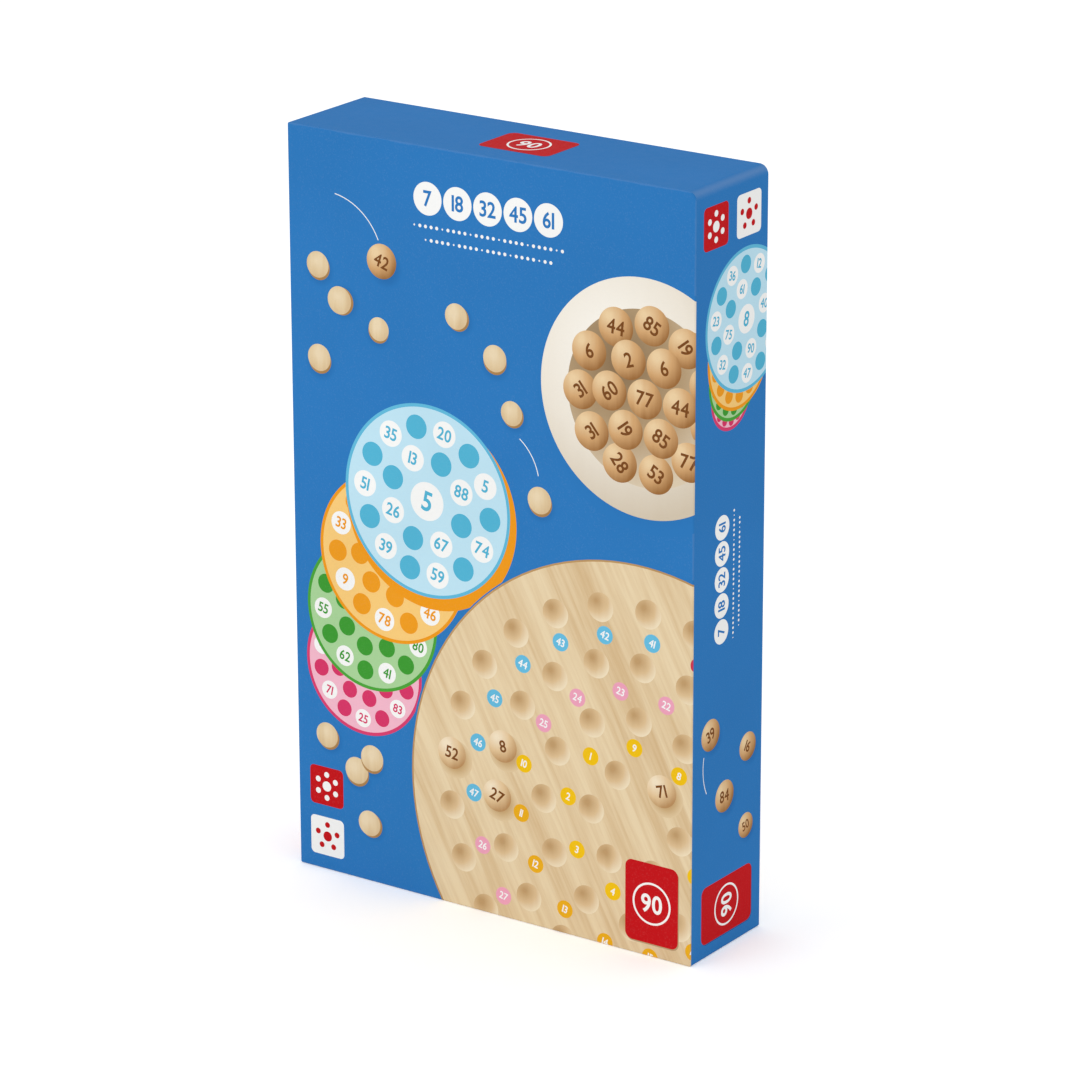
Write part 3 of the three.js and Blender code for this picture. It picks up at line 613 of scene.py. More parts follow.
class Numerals:
    """Outlines of the plain digits 0 to 9, one unit high, cut from the built-in font.

    Each stroke grows by a weight on each side. A curved stretch has a number of chords.
    """

    SPACING = 0.07
    WEIGHT = 0.028
    WIDTH = 0.92
    CHORDS = 5
    CROWDED = 0.012
    STRAIGHT = 1e-5

    def __init__(self) -> None:
        """Cuts the ten digits."""
        self._digits = {digit: self._cut(digit) for digit in "0123456789"}

    def _cut(self, digit: str) -> list[list[Point]]:
        """Cuts one digit from the font.

        Args:
            digit: The digit.

        Returns:
            Its contours, one unit high from the base line.
        """
        curve = bpy.data.curves.new("digit", "FONT")
        curve.body = digit
        holder = linked("digit", curve)
        graph = bpy.context.evaluated_depsgraph_get()
        outlines = holder.evaluated_get(graph).to_curve(graph)
        contours = [self._sampled(spline) for spline in outlines.splines]
        bpy.data.objects.remove(holder)
        rises = [y for contour in contours for _, y in contour]
        low = min(rises)
        scale = 1 / (max(rises) - low)
        sized = [[(x * scale * self.WIDTH, (y - low) * scale) for x, y in contour] for contour in contours]
        sized = [contour if signed_area(contour) > 0 else contour[::-1] for contour in sized]
        largest = max(sized, key=signed_area)
        return [self._open_ended(self._grown(c) if c is largest else self._shrunk(c)) for c in sized]

    def _sampled(self, spline: bpy.types.Spline) -> list[Point]:
        """Samples a closed spline, with one chord where it is straight.

        Args:
            spline: The font's spline.

        Returns:
            Points along it.
        """
        knots = list(spline.bezier_points)
        points: list[Point] = []
        for here, there in pairwise([*knots, knots[0]]):
            a, b, c, d = here.co, here.handle_right, there.handle_left, there.co
            bend = abs((b - a).cross(d - a).z) + abs((c - a).cross(d - a).z)
            steps = self.CHORDS if bend > self.STRAIGHT else 1
            for step in range(steps):
                t = step / steps
                p = a * (1 - t) ** 3 + b * 3 * t * (1 - t) ** 2 + c * 3 * t * t * (1 - t) + d * t ** 3
                points.append((p.x, p.y))
        return points

    def _grown(self, contour: list[Point]) -> list[Point]:
        """Moves each edge of an outer contour out by the weight.

        Args:
            contour: The contour, anticlockwise.

        Returns:
            The larger contour.
        """
        sides = [(Vector(b) - Vector(a)).normalized() for a, b in pairwise([*contour, contour[0]])]
        grown: list[Point] = []
        for index, (x, y) in enumerate(contour):
            corner = sides[index - 1] + sides[index]
            reach = self.WEIGHT / max(corner.length_squared / 2, 0.35)
            grown.append((x + corner.y * reach, y - corner.x * reach))
        return grown

    def _shrunk(self, contour: list[Point]) -> list[Point]:
        """Draws a hole in by the weight all round.

        Args:
            contour: The hole's contour.

        Returns:
            The smaller contour.
        """
        spans = [(min(values), max(values)) for values in zip(*contour)]
        middles = [(low + high) / 2 for low, high in spans]
        scales = [1 - 2 * self.WEIGHT / (high - low) for low, high in spans]
        return [tuple(m + (v - m) * k for v, m, k in zip(point, middles, scales)) for point in contour]

    def _open_ended(self, contour: list[Point]) -> list[Point]:
        """Drops points that crowd the one before, and ends with the longest edge, where a cut fill starts.

        Args:
            contour: The contour.

        Returns:
            The same contour, started elsewhere.
        """
        kept = [point for index, point in enumerate(contour)
                if math.dist(contour[index - 1], point) > self.CROWDED]
        longest = max(range(len(kept)), key=lambda index: math.dist(kept[index - 1], kept[index]))
        return kept[longest:] + kept[:longest]

    def of(self, number: int, at: Point, height: float, turn: float = 0.0) -> list[list[Point]]:
        """Gives a number's contours.

        Args:
            number: The number to write.
            at: Its middle.
            height: The digits' height.
            turn: The angle of the base line in degrees.

        Returns:
            Its contours, each anticlockwise: holes are told by how many contours hold them.
        """
        placed: list[list[Point]] = []
        cursor = 0.0
        for digit in str(number):
            contours = self._digits[digit]
            reaches = [x for contour in contours for x, _ in contour]
            left = min(reaches)
            placed += [[(x - left + cursor, y - 0.5) for x, y in contour] for contour in contours]
            cursor += max(reaches) - left + self.SPACING
        middle = (cursor - self.SPACING) / 2
        cos, sin = math.cos(math.radians(turn)) * height, math.sin(math.radians(turn)) * height
        return [[(at[0] + (x - middle) * cos - y * sin, at[1] + (x - middle) * sin + y * cos)
                 for x, y in contour] for contour in placed]


@cache
def numerals() -> Numerals:
    """Gives the digits, which are cut once."""
    return Numerals()


@dataclass
class Shape:
    """One printed shape: its contours, its ink, and the middle and reach of its own picture."""

    contours: list[list[Point]]
    finish: Finish
    middle: Point = (0.0, 0.0)
    reach: float = 1.0


class Artwork:
    """Shapes printed one over another on a flat region, cut to one flat mesh with no overlap."""

    def __init__(self, outline: list[Point], ground: Finish) -> None:
        """Starts with plain ground inside an outline that runs anticlockwise."""
        self.shapes = [Shape([outline], ground)]
        self.creases: list[list[Point]] = []

    def shape(self, points: list[Point], ink: Ink) -> None:
        """Prints one closed outline."""
        self.shapes.append(Shape([points], ink.value))

    def disc(self, at: Point, radius: float, ink: Ink, sides: int = 0) -> None:
        """Prints a disc with its own picture coordinates, with sides by its size if none are given."""
        sides = sides or max(14, min(120, int(radius * 4) + 12))
        self.shapes.append(Shape([circle(at, radius, sides)], ink.value, at, radius))

    def rounded(self, at: Point, width: float, height: float, radius: float, ink: Ink) -> None:
        """Prints a rectangle with round corners about a middle."""
        (x, y), right, up = at, width / 2, height / 2
        self.shape(rounded_outline((x - right, y - up), (x + right, y + up), [radius] * 4), ink)

    def number(self, number: int, at: Point, height: float, ink: Ink, turn: float = 0.0) -> None:
        """Prints a plain number about a middle."""
        self.shapes.append(Shape(numerals().of(number, at, height, turn), ink.value))

    def marked(self, at: Point, radius: float, ink: Ink, number: int, height: float, figures: Ink = Ink.WHITE,
               turn: float = 0.0, sides: int = 0) -> None:
        """Prints a disc with a number on it."""
        self.disc(at, radius, ink, sides)
        self.number(number, at, height, figures, turn)

    def bars(self, at: Point, width: float, shares: Iterable[float], pitch: float) -> None:
        """Prints a column of bars in place of text, kept to the left.

        Args:
            at: The middle of the first bar, when it is whole.
            width: A whole bar's width.
            shares: Each bar's share of the width.
            pitch: The distance from bar to bar.
        """
        for line, share in enumerate(shares):
            self.rounded((at[0] - width * (1 - share) / 2, at[1] - line * pitch), width * share, 1.3, 0.6,
                         Ink.GREY_TEXT)

    def cut(self) -> tuple[list[Point], list[tuple[int, int, int]], list[Shape]]:
        """Cuts the region so that each triangle lies in one printed shape.

        Returns:
            The flat points, the triangles, and the shape that shows on each triangle.
        """
        points: list[Vector] = []
        faces: list[list[int]] = []
        owner: list[int] = []
        for number, shape in enumerate(self.shapes):
            for contour in shape.contours:
                faces.append(list(range(len(points), len(points) + len(contour))))
                points += [Vector(point) for point in contour]
                owner.append(number)
        edges: list[tuple[int, int]] = []
        for crease in self.creases:
            base = len(points)
            points += [Vector(point) for point in crease]
            edges += [(base + i, base + (i + 1) % len(crease)) for i in range(len(crease))]
        flat, _, triangles, _, _, held = delaunay_2d_cdt(points, edges, faces, 1, 1e-5, True)
        kept: list[Sequence[int]] = []
        shown: list[Shape] = []
        for triangle, holders in zip(triangles, held):
            owners = [owner[holder] for holder in holders]
            top = self.shapes[max((number for number in owners if owners.count(number) % 2), default=0)]
            if 0 in owners and top.finish is not Ink.HOLE.value:
                kept.append(triangle)
                shown.append(top)
        used = sorted({corner for triangle in kept for corner in triangle})
        renamed = {corner: index for index, corner in enumerate(used)}
        triangles = [tuple(renamed[corner] for corner in triangle) for triangle in kept]
        return [(flat[corner].x, flat[corner].y) for corner in used], triangles, shown


class Draft:
    """A mesh in the making, in millimetres, with a finish for each face."""

    def __init__(self) -> None:
        """Starts with no points."""
        self.points: list[Point] = []
        self.faces: list[tuple[int, ...]] = []
        self.finishes: list[Finish] = []
        self.local: dict[int, list[Point]] = {}

    def add(self, points: Iterable[Point], faces: Iterable[Sequence[int]], finish: Finish) -> None:
        """Adds points and faces.

        Args:
            points: The new points.
            faces: The new faces, which count from the first of the new points.
            finish: Their finish.
        """
        base = len(self.points)
        self.points += points
        for face in faces:
            self.faces.append(tuple(base + corner for corner in face))
            self.finishes.append(finish)

    def flat(self, ring: Sequence[Point], finish: Finish, turned: bool = False) -> None:
        """Adds one face with points of its own, or turned the other way."""
        corners = range(len(ring))
        self.add(ring, [tuple(reversed(corners) if turned else corners)], finish)

    def loft(self, rings: Sequence[Sequence[Point]], finish: Finish, closed: bool = True,
             low_cap: bool = False, high_cap: bool = False) -> None:
        """Adds strips from each ring of points to the next.

        Args:
            rings: Rings of as many points each; anticlockwise rings that rise face outwards.
            finish: The strips' finish.
            closed: Whether each ring joins up with itself.
            low_cap: Whether a face closes the first ring.
            high_cap: Whether a face closes the last ring.
        """
        count = len(rings[0])
        faces: list[tuple[int, ...]] = []
        for level in range(len(rings) - 1):
            for index in range(count if closed else count - 1):
                here, there = level * count + index, level * count + (index + 1) % count
                faces.append((here, there, there + count, here + count))
        if low_cap:
            faces.append(tuple(reversed(range(count))))
        if high_cap:
            faces.append(tuple((len(rings) - 1) * count + index for index in range(count)))
        self.add([point for ring in rings for point in ring], faces, finish)

    def prism(self, outline: Sequence[Point], heights: Sequence[float], place: Place, finish: Finish,
              low_cap: bool = True) -> None:
        """Adds a solid with one outline at each height, closed above and, unless told, below."""
        rings = [[place((x, y, height)) for x, y in outline] for height in heights]
        self.loft(rings, finish, low_cap=low_cap, high_cap=True)

    def lathe(self, profile: Sequence[Point], sides: int, place: Place, finish: Finish) -> None:
        """Adds a solid of revolution about its own third axis.

        Args:
            profile: Points of (radius, height) that rise from axis to axis.
            sides: How many sides go round it.
            place: Puts a point of the solid where it belongs.
            finish: Its finish.
        """
        turns = [TURN * side / sides for side in range(sides)]
        rings = [[place((r * math.cos(turn), r * math.sin(turn), h)) for turn in turns]
                 for r, h in profile if r > 0]
        base = len(self.points)
        self.loft(rings, finish)
        ends = ((profile[0], base, True), (profile[-1], base + (len(rings) - 1) * sides, False))
        for (radius, height), start, turned in ends:
            if radius == 0:
                pole = len(self.points)
                self.points.append(place((0, 0, height)))
                for side in range(sides):
                    here, there = start + side, start + (side + 1) % sides
                    self.faces.append((pole, there, here) if turned else (pole, here, there))
                    self.finishes.append(finish)

    def printed(self, artwork: Artwork, place: Place) -> None:
        """Adds a cut artwork.

        Args:
            artwork: The artwork.
            place: Puts a flat point of it on the piece, so that its first axis is to a viewer's right.
        """
        flat, triangles, shown = artwork.cut()
        base = len(self.points)
        self.points += [place((x, y, 0.0)) for x, y in flat]
        for triangle, shape in zip(triangles, shown):
            self.local[len(self.faces)] = [tuple((value - middle) / shape.reach for value, middle in
                                                 zip(flat[corner], shape.middle)) for corner in triangle]
            self.faces.append(tuple(base + corner for corner in triangle))
            self.finishes.append(shape.finish)

    def as_object(self, name: str, smooth: float = 0.0, weld: float = 0.0) -> bpy.types.Object:
        """Makes the object, in metres.

        Args:
            name: The piece's name.
            smooth: The steepest edge in degrees that is shaded smooth, or 0 for flat faces.
            weld: The distance in millimetres within which points are merged, or 0.

        Returns:
            The new object, linked to the scene.
        """
        mesh = bpy.data.meshes.new(name)
        mesh.from_pydata([tuple(value * MM for value in point) for point in self.points], [], self.faces)
        order = {finish: index for index, finish in enumerate(dict.fromkeys(self.finishes))}
        for finish in order:
            mesh.materials.append(finish.material())
        mesh.polygons.foreach_set("material_index", [order[finish] for finish in self.finishes])
        if self.local:
            layer = mesh.uv_layers.new(name="print")
            for polygon in mesh.polygons:
                for loop, spot in zip(polygon.loop_indices, self.local.get(polygon.index, ())):
                    layer.data[loop].uv = spot
        mesh.validate()
        made = linked(name, mesh)
        if weld:
            work = bmesh.new()
            work.from_mesh(mesh)
            bmesh.ops.remove_doubles(work, verts=work.verts, dist=weld * MM)
            work.to_mesh(mesh)
            work.free()
        if smooth:
            mesh.shade_smooth()
            mesh.set_sharp_from_angle(angle=math.radians(smooth))
        return made


@dataclass(frozen=True)
class NodeBox:
    """The corners of a CAD node at rest, in millimetres."""

    low: Point
    high: Point

    @classmethod
    def of(cls, node: str) -> "NodeBox":
        """Measures a node."""
        return cls(*(tuple(value / MM for value in corner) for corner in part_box(node)))

    @property
    def middle(self) -> Point:
        """Gives the box's middle."""
        return tuple((low + high) / 2 for low, high in zip(self.low, self.high))

    @property
    def size(self) -> Point:
        """Gives the box's three sizes."""
        return tuple(high - low for low, high in zip(self.low, self.high))


def settle(piece: bpy.types.Object, body: str, slot: str, *nodes: str) -> bpy.types.Object:
    """Makes a piece ride on its body and stand for its CAD nodes, which are hidden.

    Args:
        piece: The piece, in place.
        body: The CAD body that it moves with.
        slot: The record's material slot; not used.
        *nodes: The CAD nodes that it replaces.

    Returns:
        The piece.
    """
    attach(piece, body)
    if nodes:
        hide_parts(*nodes)
    LOG.info("%s on %s", piece.name, body)
    return piece


class BoxSheet(Artwork):
    """A blue sheet of the box, and the generic pictures that go on it."""

    ROW_OF_NUMBERS = (7, 18, 32, 45, 61)
    LABEL = 90

    def __init__(self, outline: list[Point]) -> None:
        """Starts a blue sheet inside an outline."""
        super().__init__(outline, Ink.BLUE.value)

    def tokens(self, *places: tuple[float, float, float, float]) -> None:
        """Prints loose wooden tokens with their edges, all over their soft shadows.

        Args:
            *places: Each token's middle, its radius and the turn of its edge in degrees.
        """
        for x, y, radius, turn in places:
            self.disc(polar((x, y), radius * 0.4, turn - 70), radius * 1.32, Ink.SHADOW)
        for x, y, radius, turn in places:
            self.disc(polar((x, y), radius * 0.2, turn - 70), radius, Ink.TOKEN_EDGE)
            self.disc((x, y), radius, Ink.TOKEN)

    def ball(self, at: Point, radius: float, number: int, turn: float = 0.0, wood: Ink = Ink.BALL) -> None:
        """Prints a wooden ball with a burnt number."""
        self.marked(at, radius, wood, number, radius * 0.72, Ink.BURNT, turn)

    def loose_ball(self, at: Point, radius: float, number: int, turn: float) -> None:
        """Prints a ball over its shadow."""
        self.disc((at[0] + radius * 0.26, at[1] - radius * 0.34), radius * 1.2, Ink.SHADOW)
        self.ball(at, radius, number, turn)

    def dial(self, at: Point, radius: float, colour: CardColour, numbers: Sequence[int],
             turn: float = 0.0) -> None:
        """Prints a round card: a rim, a pale ground, and two rings of number discs and filled discs.

        Args:
            at: The card's middle.
            radius: Its radius.
            colour: Its colour.
            numbers: The numbers to print. One that is left over, or the first, goes in the middle.
            turn: The first disc's angle in degrees.
        """
        rim, pale, full = colour.value
        self.disc(at, radius, rim)
        self.disc(at, radius - 1.6, pale)
        waiting = list(numbers)
        for reach, count in ((radius * 0.76, 14), (radius * 0.45, 8)):
            for step, place in enumerate(arc_points(at, reach, turn, turn + 360, count)[:-1]):
                if step % 2 == 0 and waiting:
                    self.marked(place, radius * 0.135, Ink.WHITE, waiting.pop(0), radius * 0.125, full, -12)
                else:
                    self.disc(place, radius * 0.125, full)
        middle = waiting[0] if waiting else numbers[0]
        self.marked(at, radius * 0.2, Ink.WHITE, middle, radius * 0.2, full, -12)

    def wheel(self, at: Point, radius: float, first: int = 1, scale: float = 1.0,
              balls: Sequence[tuple[int, int, float]] = ()) -> None:
        """Prints a round wooden board: rings of pits, with rings of coloured number dots between them.

        Args:
            at: The board's middle.
            radius: Its radius.
            first: The number of the dot nearest the middle.
            scale: The size of the pits and the dots.
            balls: Balls that lie in pits, as the pit counted from the middle, the number and its turn.
        """
        self.disc(at, radius, Ink.TOKEN_EDGE, 120)
        self.disc(at, radius - 0.9 * scale, Ink.WOOD, 120)
        pits: list[Point] = []
        dots: list[Point] = []
        for ring, reach in enumerate(range(24, int(radius / scale) - 12, 13), 1):
            count = max(5, round(TURN * reach / 25.5))
            start = 97 + ring * 17
            places = arc_points(at, reach * scale, start, start + 360, count)[:-1]
            (pits if ring % 2 else dots).extend(places)
        for place in pits:
            self.disc(place, 6.9 * scale, Ink.PIT)
        for pit, _, _ in balls:
            self.disc((pits[pit][0] + 2, pits[pit][1] - 2.6), 9.4, Ink.WOOD_SHADOW)
        for index, place in enumerate(dots, first - 1):
            number = index % 90 + 1
            self.marked(place, 4.3 * scale, ink_of_number(number), number, 3.5 * scale, turn=-14)
        for pit, number, turn in balls:
            self.ball(pits[pit], 7.8, number, turn, Ink.BALL_PALE)

    def bowl(self, at: Point, radius: float, numbers: Sequence[int]) -> None:
        """Prints a pale bowl of balls seen from above.

        Args:
            at: The bowl's middle.
            radius: Its radius.
            numbers: The balls' numbers, which come round again.
        """
        self.disc((at[0] + 2, at[1] - 3), radius + 4, Ink.SHADOW)
        self.disc(at, radius, Ink.BOWL)
        self.disc(at, radius * 0.74, Ink.BOWL_INSIDE)
        size = radius * 0.165
        spots = [at]
        for ring, count in ((2.05, 6), (3.75, 11)):
            start = math.degrees(ring)
            spots += arc_points(at, size * ring, start, start + 360, count)[:-1]
        for index, spot in enumerate(reversed(spots)):
            self.ball(spot, size, numbers[index % len(numbers)], 40 - 23 * (index % 5))

    def number_row(self, at: Point, size: float, turn: float = 0.0) -> None:
        """Prints a row of white discs with plain numbers, and two thin rows of dots under it.

        Args:
            at: The middle of the discs.
            size: A disc's diameter.
            turn: The angle of the row in degrees.
        """
        middle = (len(self.ROW_OF_NUMBERS) - 1) / 2
        for index, number in enumerate(self.ROW_OF_NUMBERS):
            place = polar(at, (index - middle) * size * 1.06, turn)
            self.marked(place, size / 2, Ink.WHITE, number, size * 0.46, Ink.BLUE, turn, 48)
        for drop, count in ((0.84, 27), (1.24, 23)):
            under = polar(at, size * drop, turn - 90)
            for index in range(count):
                place = polar(under, (index - (count - 1) / 2) * size * 0.2, turn)
                self.disc(place, size * (0.055 if index % 5 else 0.03), Ink.WHITE, 10)

    def pips_mark(self, at: Point, size: float, ground: Ink, pips: Ink, count: int) -> None:
        """Prints a rounded square with a ring of pips round a larger one.

        Args:
            at: The square's middle.
            size: Its side.
            ground: Its ink.
            pips: The pips' ink.
            count: How many pips are in the ring.
        """
        self.rounded(at, size, size, size * 0.12, ground)
        for place in arc_points(at, size * 0.3, 90, 450, count)[:-1]:
            self.disc(place, size * 0.075, pips)
        self.disc(at, size * 0.13, pips)

    def number_label(self, at: Point, width: float, height: float, turn: float = 0.0,
                     shade: Ink = Ink.BLUE_SHADE) -> None:
        """Prints a red rounded label with a plain number in a white ring, over a thin shade.

        Args:
            at: The label's middle.
            width: Its width.
            height: Its height.
            turn: The angle of the number's base line in degrees.
            shade: The shade's ink.
        """
        size = min(width, height)
        self.rounded((at[0] + 0.5, at[1] - 0.6), width, height, size * 0.13, shade)
        self.rounded(at, width, height, size * 0.13, Ink.RED)
        self.disc(at, size * 0.36, Ink.WHITE, 60)
        self.marked(at, size * 0.325, Ink.RED, self.LABEL, size * 0.3, turn=turn, sides=60)

    def sweep(self, at: Point, radius: float, start: float, end: float, half: float = 0.22) -> None:
        """Prints a thin white line along an arc.

        Args:
            at: The arc's middle.
            radius: Its radius.
            start: The first angle in degrees.
            end: The last angle.
            half: Half the line's width.
        """
        outer = radius + half
        steps = max(4, int(outer * abs(end - start) / 100))
        inner = arc_points(at, radius - half, end, start, steps)
        self.shape(arc_points(at, outer, start, end, steps) + inner, Ink.WHITE)

    def front(self) -> None:
        """Lays out the front: the wheel low on the right, round cards on the left and the bowl above."""
        self.dial((-71, 106), 33, CardColour.PINK, (12, 36, 58, 4, 71, 25, 83, 49), 11)
        self.dial((-66, 133), 37, CardColour.GREEN, (18, 38, 7, 55, 62, 41, 80, 29), 30)
        self.dial((-54, 163), 41, CardColour.ORANGE, (17, 24, 65, 33, 9, 78, 46, 52), 4)
        self.disc((-32, 190), 47.5, Ink.ORANGE_RIM)
        self.dial((-34, 194), 46, CardColour.BLUE, (5, 20, 35, 51, 39, 59, 74, 88, 13, 26, 67), 22)
        self.disc((82, 60), 127.5, Ink.SHADOW, 120)
        self.wheel((80, 62), 124, balls=((5, 71, 16), (18, 27, -20), (36, 8, 12), (59, 52, -8)))
        self.bowl((84, 263), 55, (31, 6, 44, 85, 19, 60, 2, 77, 53, 28))
        self.tokens((-94, 296, 6.2, 10), (-82, 281, 6.6, 60), (-60, 271, 5.6, -30), (-94, 252, 6.4, 0),
                    (-17, 284, 6.1, 35), (4, 268, 6.3, -15), (13, 244, 5.8, 20), (28, 206, 6.4, 0),
                    (-93, 68, 6.2, 25), (-76, 54, 6.6, 0), (-67, 62, 6.4, -20), (-69, 29, 6.3, 40))
        self.loose_ball((-58, 303), 8.2, 42, -18)
        self.sweep((-88, 300), 31, 24, 82)
        self.sweep((2, 212), 26, 12, 54)
        self.number_row((0.5, 336), 15.4)
        self.pips_mark((-93.7, 42), 19.3, Ink.RED, Ink.WHITE, 6)
        self.pips_mark((-93.7, 16.7), 19.3, Ink.WHITE, Ink.RED, 5)
        self.number_label((89, 25.8), 28.5, 39, shade=Ink.WOOD_SHADE)

    def side(self, mirrored: bool) -> None:
        """Lays out a long side about its own middle line.

        Args:
            mirrored: Whether left and right are changed over.
        """
        flip = -1 if mirrored else 1
        across = [x for x, _ in self.shapes[0].contours[0]]
        middle = (min(across) + max(across)) / 2
        for x, y, radius, colour, numbers in (
                (0, 262, 16, CardColour.PINK, (1, 64, 27)),
                (2, 270, 20, CardColour.GREEN, (68, 22, 45)),
                (6, 279, 25, CardColour.ORANGE, (3, 57, 81)),
                (12, 294, 33, CardColour.BLUE, (8, 12, 36, 23, 32, 47, 21, 40, 61, 75, 90))):
            self.dial((middle + flip * x, y), radius, colour, numbers, 15)
        self.number_row((middle - flip * 6, 178), 11.5, 90 * flip)
        for x, y, radius, number, turn in ((-14, 107, 7.5, 39, 20), (17, 92, 6.8, 16, -30),
                                           (-2, 74, 7.6, 84, 0), (16, 54, 6.0, 50, 14)):
            self.loose_ball((middle + flip * x, y), radius, number, turn)
        self.sweep((middle + flip * 6, 92), 26, *((-28, 13) if mirrored else (167, 208)))
        self.pips_mark((middle - flip * 13.2, 341.4), 19.6, Ink.RED, Ink.WHITE, 6)
        self.pips_mark((middle + flip * 13.2, 341.4), 19.6, Ink.WHITE, Ink.RED, 5)
        self.number_label((middle + flip * 0.5, 20.6), 41.8, 27.8, 90 * flip)

    def back(self) -> None:
        """Lays out the back: a white panel with a table of 1 to 90, round cards and bars in place of text."""
        self.rounded((0, 180), 190, 326, 7, Ink.WHITE)
        for number in range(1, 91):
            row, column = divmod(number - 1, 10)
            self.marked((-76.5 + column * 17, 322 - row * 15), 5.4, ink_of_number(number), number, 4.2)
        for x, colour, numbers in zip((-66, -22, 22, 66), CardColour,
                                      ((5, 20, 35, 51), (17, 24, 65), (18, 38, 7), (12, 36, 58))):
            self.dial((x, 162), 19, colour, numbers, 20)
        for block, x in enumerate((-68, -22.5, 22.5, 68)):
            shares = [1.0 - 0.09 * ((line * 5 + block * 3) % 4) for line in range(8)]
            self.bars((x, 126), 40, [*shares, 0.55], 4.4)
        self.wheel((-48, 52), 29, 61, 0.45)
        for x, y, number in ((12, 62, 3), (32, 48, 66), (10, 36, 48), (52, 66, 29)):
            self.marked((x, y), 8, Ink.BALL, number, 5.4, Ink.BURNT)
        self.number_label((79, 40), 22, 28, shade=Ink.GREY_TEXT)


class Wall(Enum):
    """The printed walls of a carton, as one looks at its face."""

    FACE = "face"
    RIGHT = "right"
    TOP = "top"
    LEFT = "left"
    BOTTOM = "bottom"


@dataclass
class Carton:
    """Five walls of covered board: a printed face at low Y, four walls and an open side at high Y.

    A turned carton has its face at high Y. It is built as if it were not, and then turned half round.
    """

    node: str
    slot: str
    turned: bool = False
    board: float = 2.0
    edge: float = 0.7
    corner: float = 0.8
    upper_right: float = 0.8
    rim: float = 0.25
    turn_in: float = 16.0
    paper: float = 0.12
    corner_steps: int = 8

    def __post_init__(self) -> None:
        """Measures the carton, as it is before any turn."""
        self.low, self.high = NodeBox.of(self.node).low, NodeBox.of(self.node).high
        if self.turned:
            self.low, self.high = ((-self.high[0], -self.high[1], self.low[2]),
                                   (-self.low[0], -self.low[1], self.high[2]))
        self.radii = (self.corner, self.corner, self.upper_right, self.corner)

    def lay_out(self, wall: Wall, sheet: BoxSheet) -> None:
        """Prints a wall's pictures. A plain carton has none."""

    def placed(self, point: Point) -> Point:
        """Puts a point of the carton in the row frame."""
        return (-point[0], -point[1], point[2]) if self.turned else point

    def outline(self, inset: float) -> list[Point]:
        """Gives the outline seen from the face.

        Args:
            inset: How far it is drawn in.

        Returns:
            The outline, anticlockwise.
        """
        low, high = (self.low[0] + inset, self.low[2] + inset), (self.high[0] - inset, self.high[2] - inset)
        return rounded_outline(low, high, [max(radius - inset, 0.15) for radius in self.radii],
                               self.corner_steps)

    def face_point(self, point: Point) -> Point:
        """Puts a printed point on the face, bent round its rounded edge.

        Args:
            point: The flat point.

        Returns:
            Its place.
        """
        x, z, _ = point
        (left, front, low), (right, _, high) = self.low, self.high
        depth = min(x - left, right - x, z - low, high - z)
        corners = corners_of((left, low), (right, high))
        for corner, (inwards, up), radius in zip(corners, INWARDS, self.radii):
            over, above = (x - corner[0]) * inwards - radius, (z - corner[1]) * up - radius
            if over < 0 and above < 0:
                depth = radius - math.hypot(over, above)
        share = min(1.0, max(0.0, depth) / self.edge)
        return (x, front + self.edge * (1 - math.sqrt(1 - (1 - share) ** 2)), z)

    def walls(self) -> dict[Wall, tuple[list[Point], Place]]:
        """Gives each wall's flat outline, and where its points go.

        Returns:
            Outlines with the first axis to a viewer's right, and places, by wall.
        """
        (left, front, low), (right, back, high) = self.low, self.high
        near, far = front + self.edge, back - self.rim
        first, last = left + self.corner, right - self.corner
        foot, head = low + self.corner, high - self.corner
        bent_right, bent_head = right - self.upper_right, high - self.upper_right
        return {
            Wall.FACE: (self.outline(0), self.face_point),
            Wall.RIGHT: (corners_of((near, foot), (far, bent_head)), lambda p: (right, p[0], p[1])),
            Wall.TOP: (corners_of((first, near), (bent_right, far)), lambda p: (p[0], p[1], high)),
            Wall.LEFT: (corners_of((-far, foot), (-near, head)), lambda p: (left, -p[0], p[1])),
            Wall.BOTTOM: (corners_of((first, -far), (last, -near)), lambda p: (p[0], -p[1], low)),
        }

    def build(self) -> None:
        """Builds and dresses the carton: walls, the rounded edges between them, the rim and the inside."""
        draft = Draft()
        for wall, (outline, place) in self.walls().items():
            sheet = BoxSheet(outline)
            self.lay_out(wall, sheet)
            if wall is Wall.FACE:
                turns = [math.radians(angle) for angle in (22.5, 45, 67.5, 90)]
                sheet.creases = [self.outline(self.edge * (1 - math.cos(turn))) for turn in turns]
            draft.printed(sheet, lambda point: self.placed(place(point)))
        front, back = self.low[1], self.high[1]
        ring, span = self.outline(0), self.corner_steps + 1
        for corner in range(4):
            arc = ring[corner * span:(corner + 1) * span]
            rows = [[self.placed((x, y, z)) for x, z in arc] for y in (back - self.rim, front + self.edge)]
            # The lid's large rounded corner gets the ink with the painted highlight along its bend.
            bent = corner == 2 and self.upper_right > self.corner
            draft.loft(rows, (Ink.BLUE_BEND if bent else Ink.BLUE).value, closed=False)
        slight, hidden, floor = self.rim * 0.3, back - self.turn_in, front + self.board
        draft.loft(self._rings((0.0, back - self.rim), (slight, back - slight), (self.rim, back),
                               (self.board - self.rim, back), (self.board - slight, back - slight),
                               (self.board + self.paper, back - self.rim), (self.board + self.paper, hidden),
                               (self.board, hidden)), Ink.BLUE.value)
        draft.loft(self._rings((self.board, hidden), (self.board, floor + 0.4), (self.board + 0.4, floor)),
                   WHITE_BOARD, high_cap=True)
        settle(draft.as_object(f"{self.node}_carton"), self.node, self.slot, self.node)

    def _rings(self, *steps: Point) -> list[list[Point]]:
        """Gives rings that run clockwise round the outline, at pairs of an inset and a depth."""
        return [[self.placed((x, y, z)) for x, z in reversed(self.outline(inset))] for inset, y in steps]


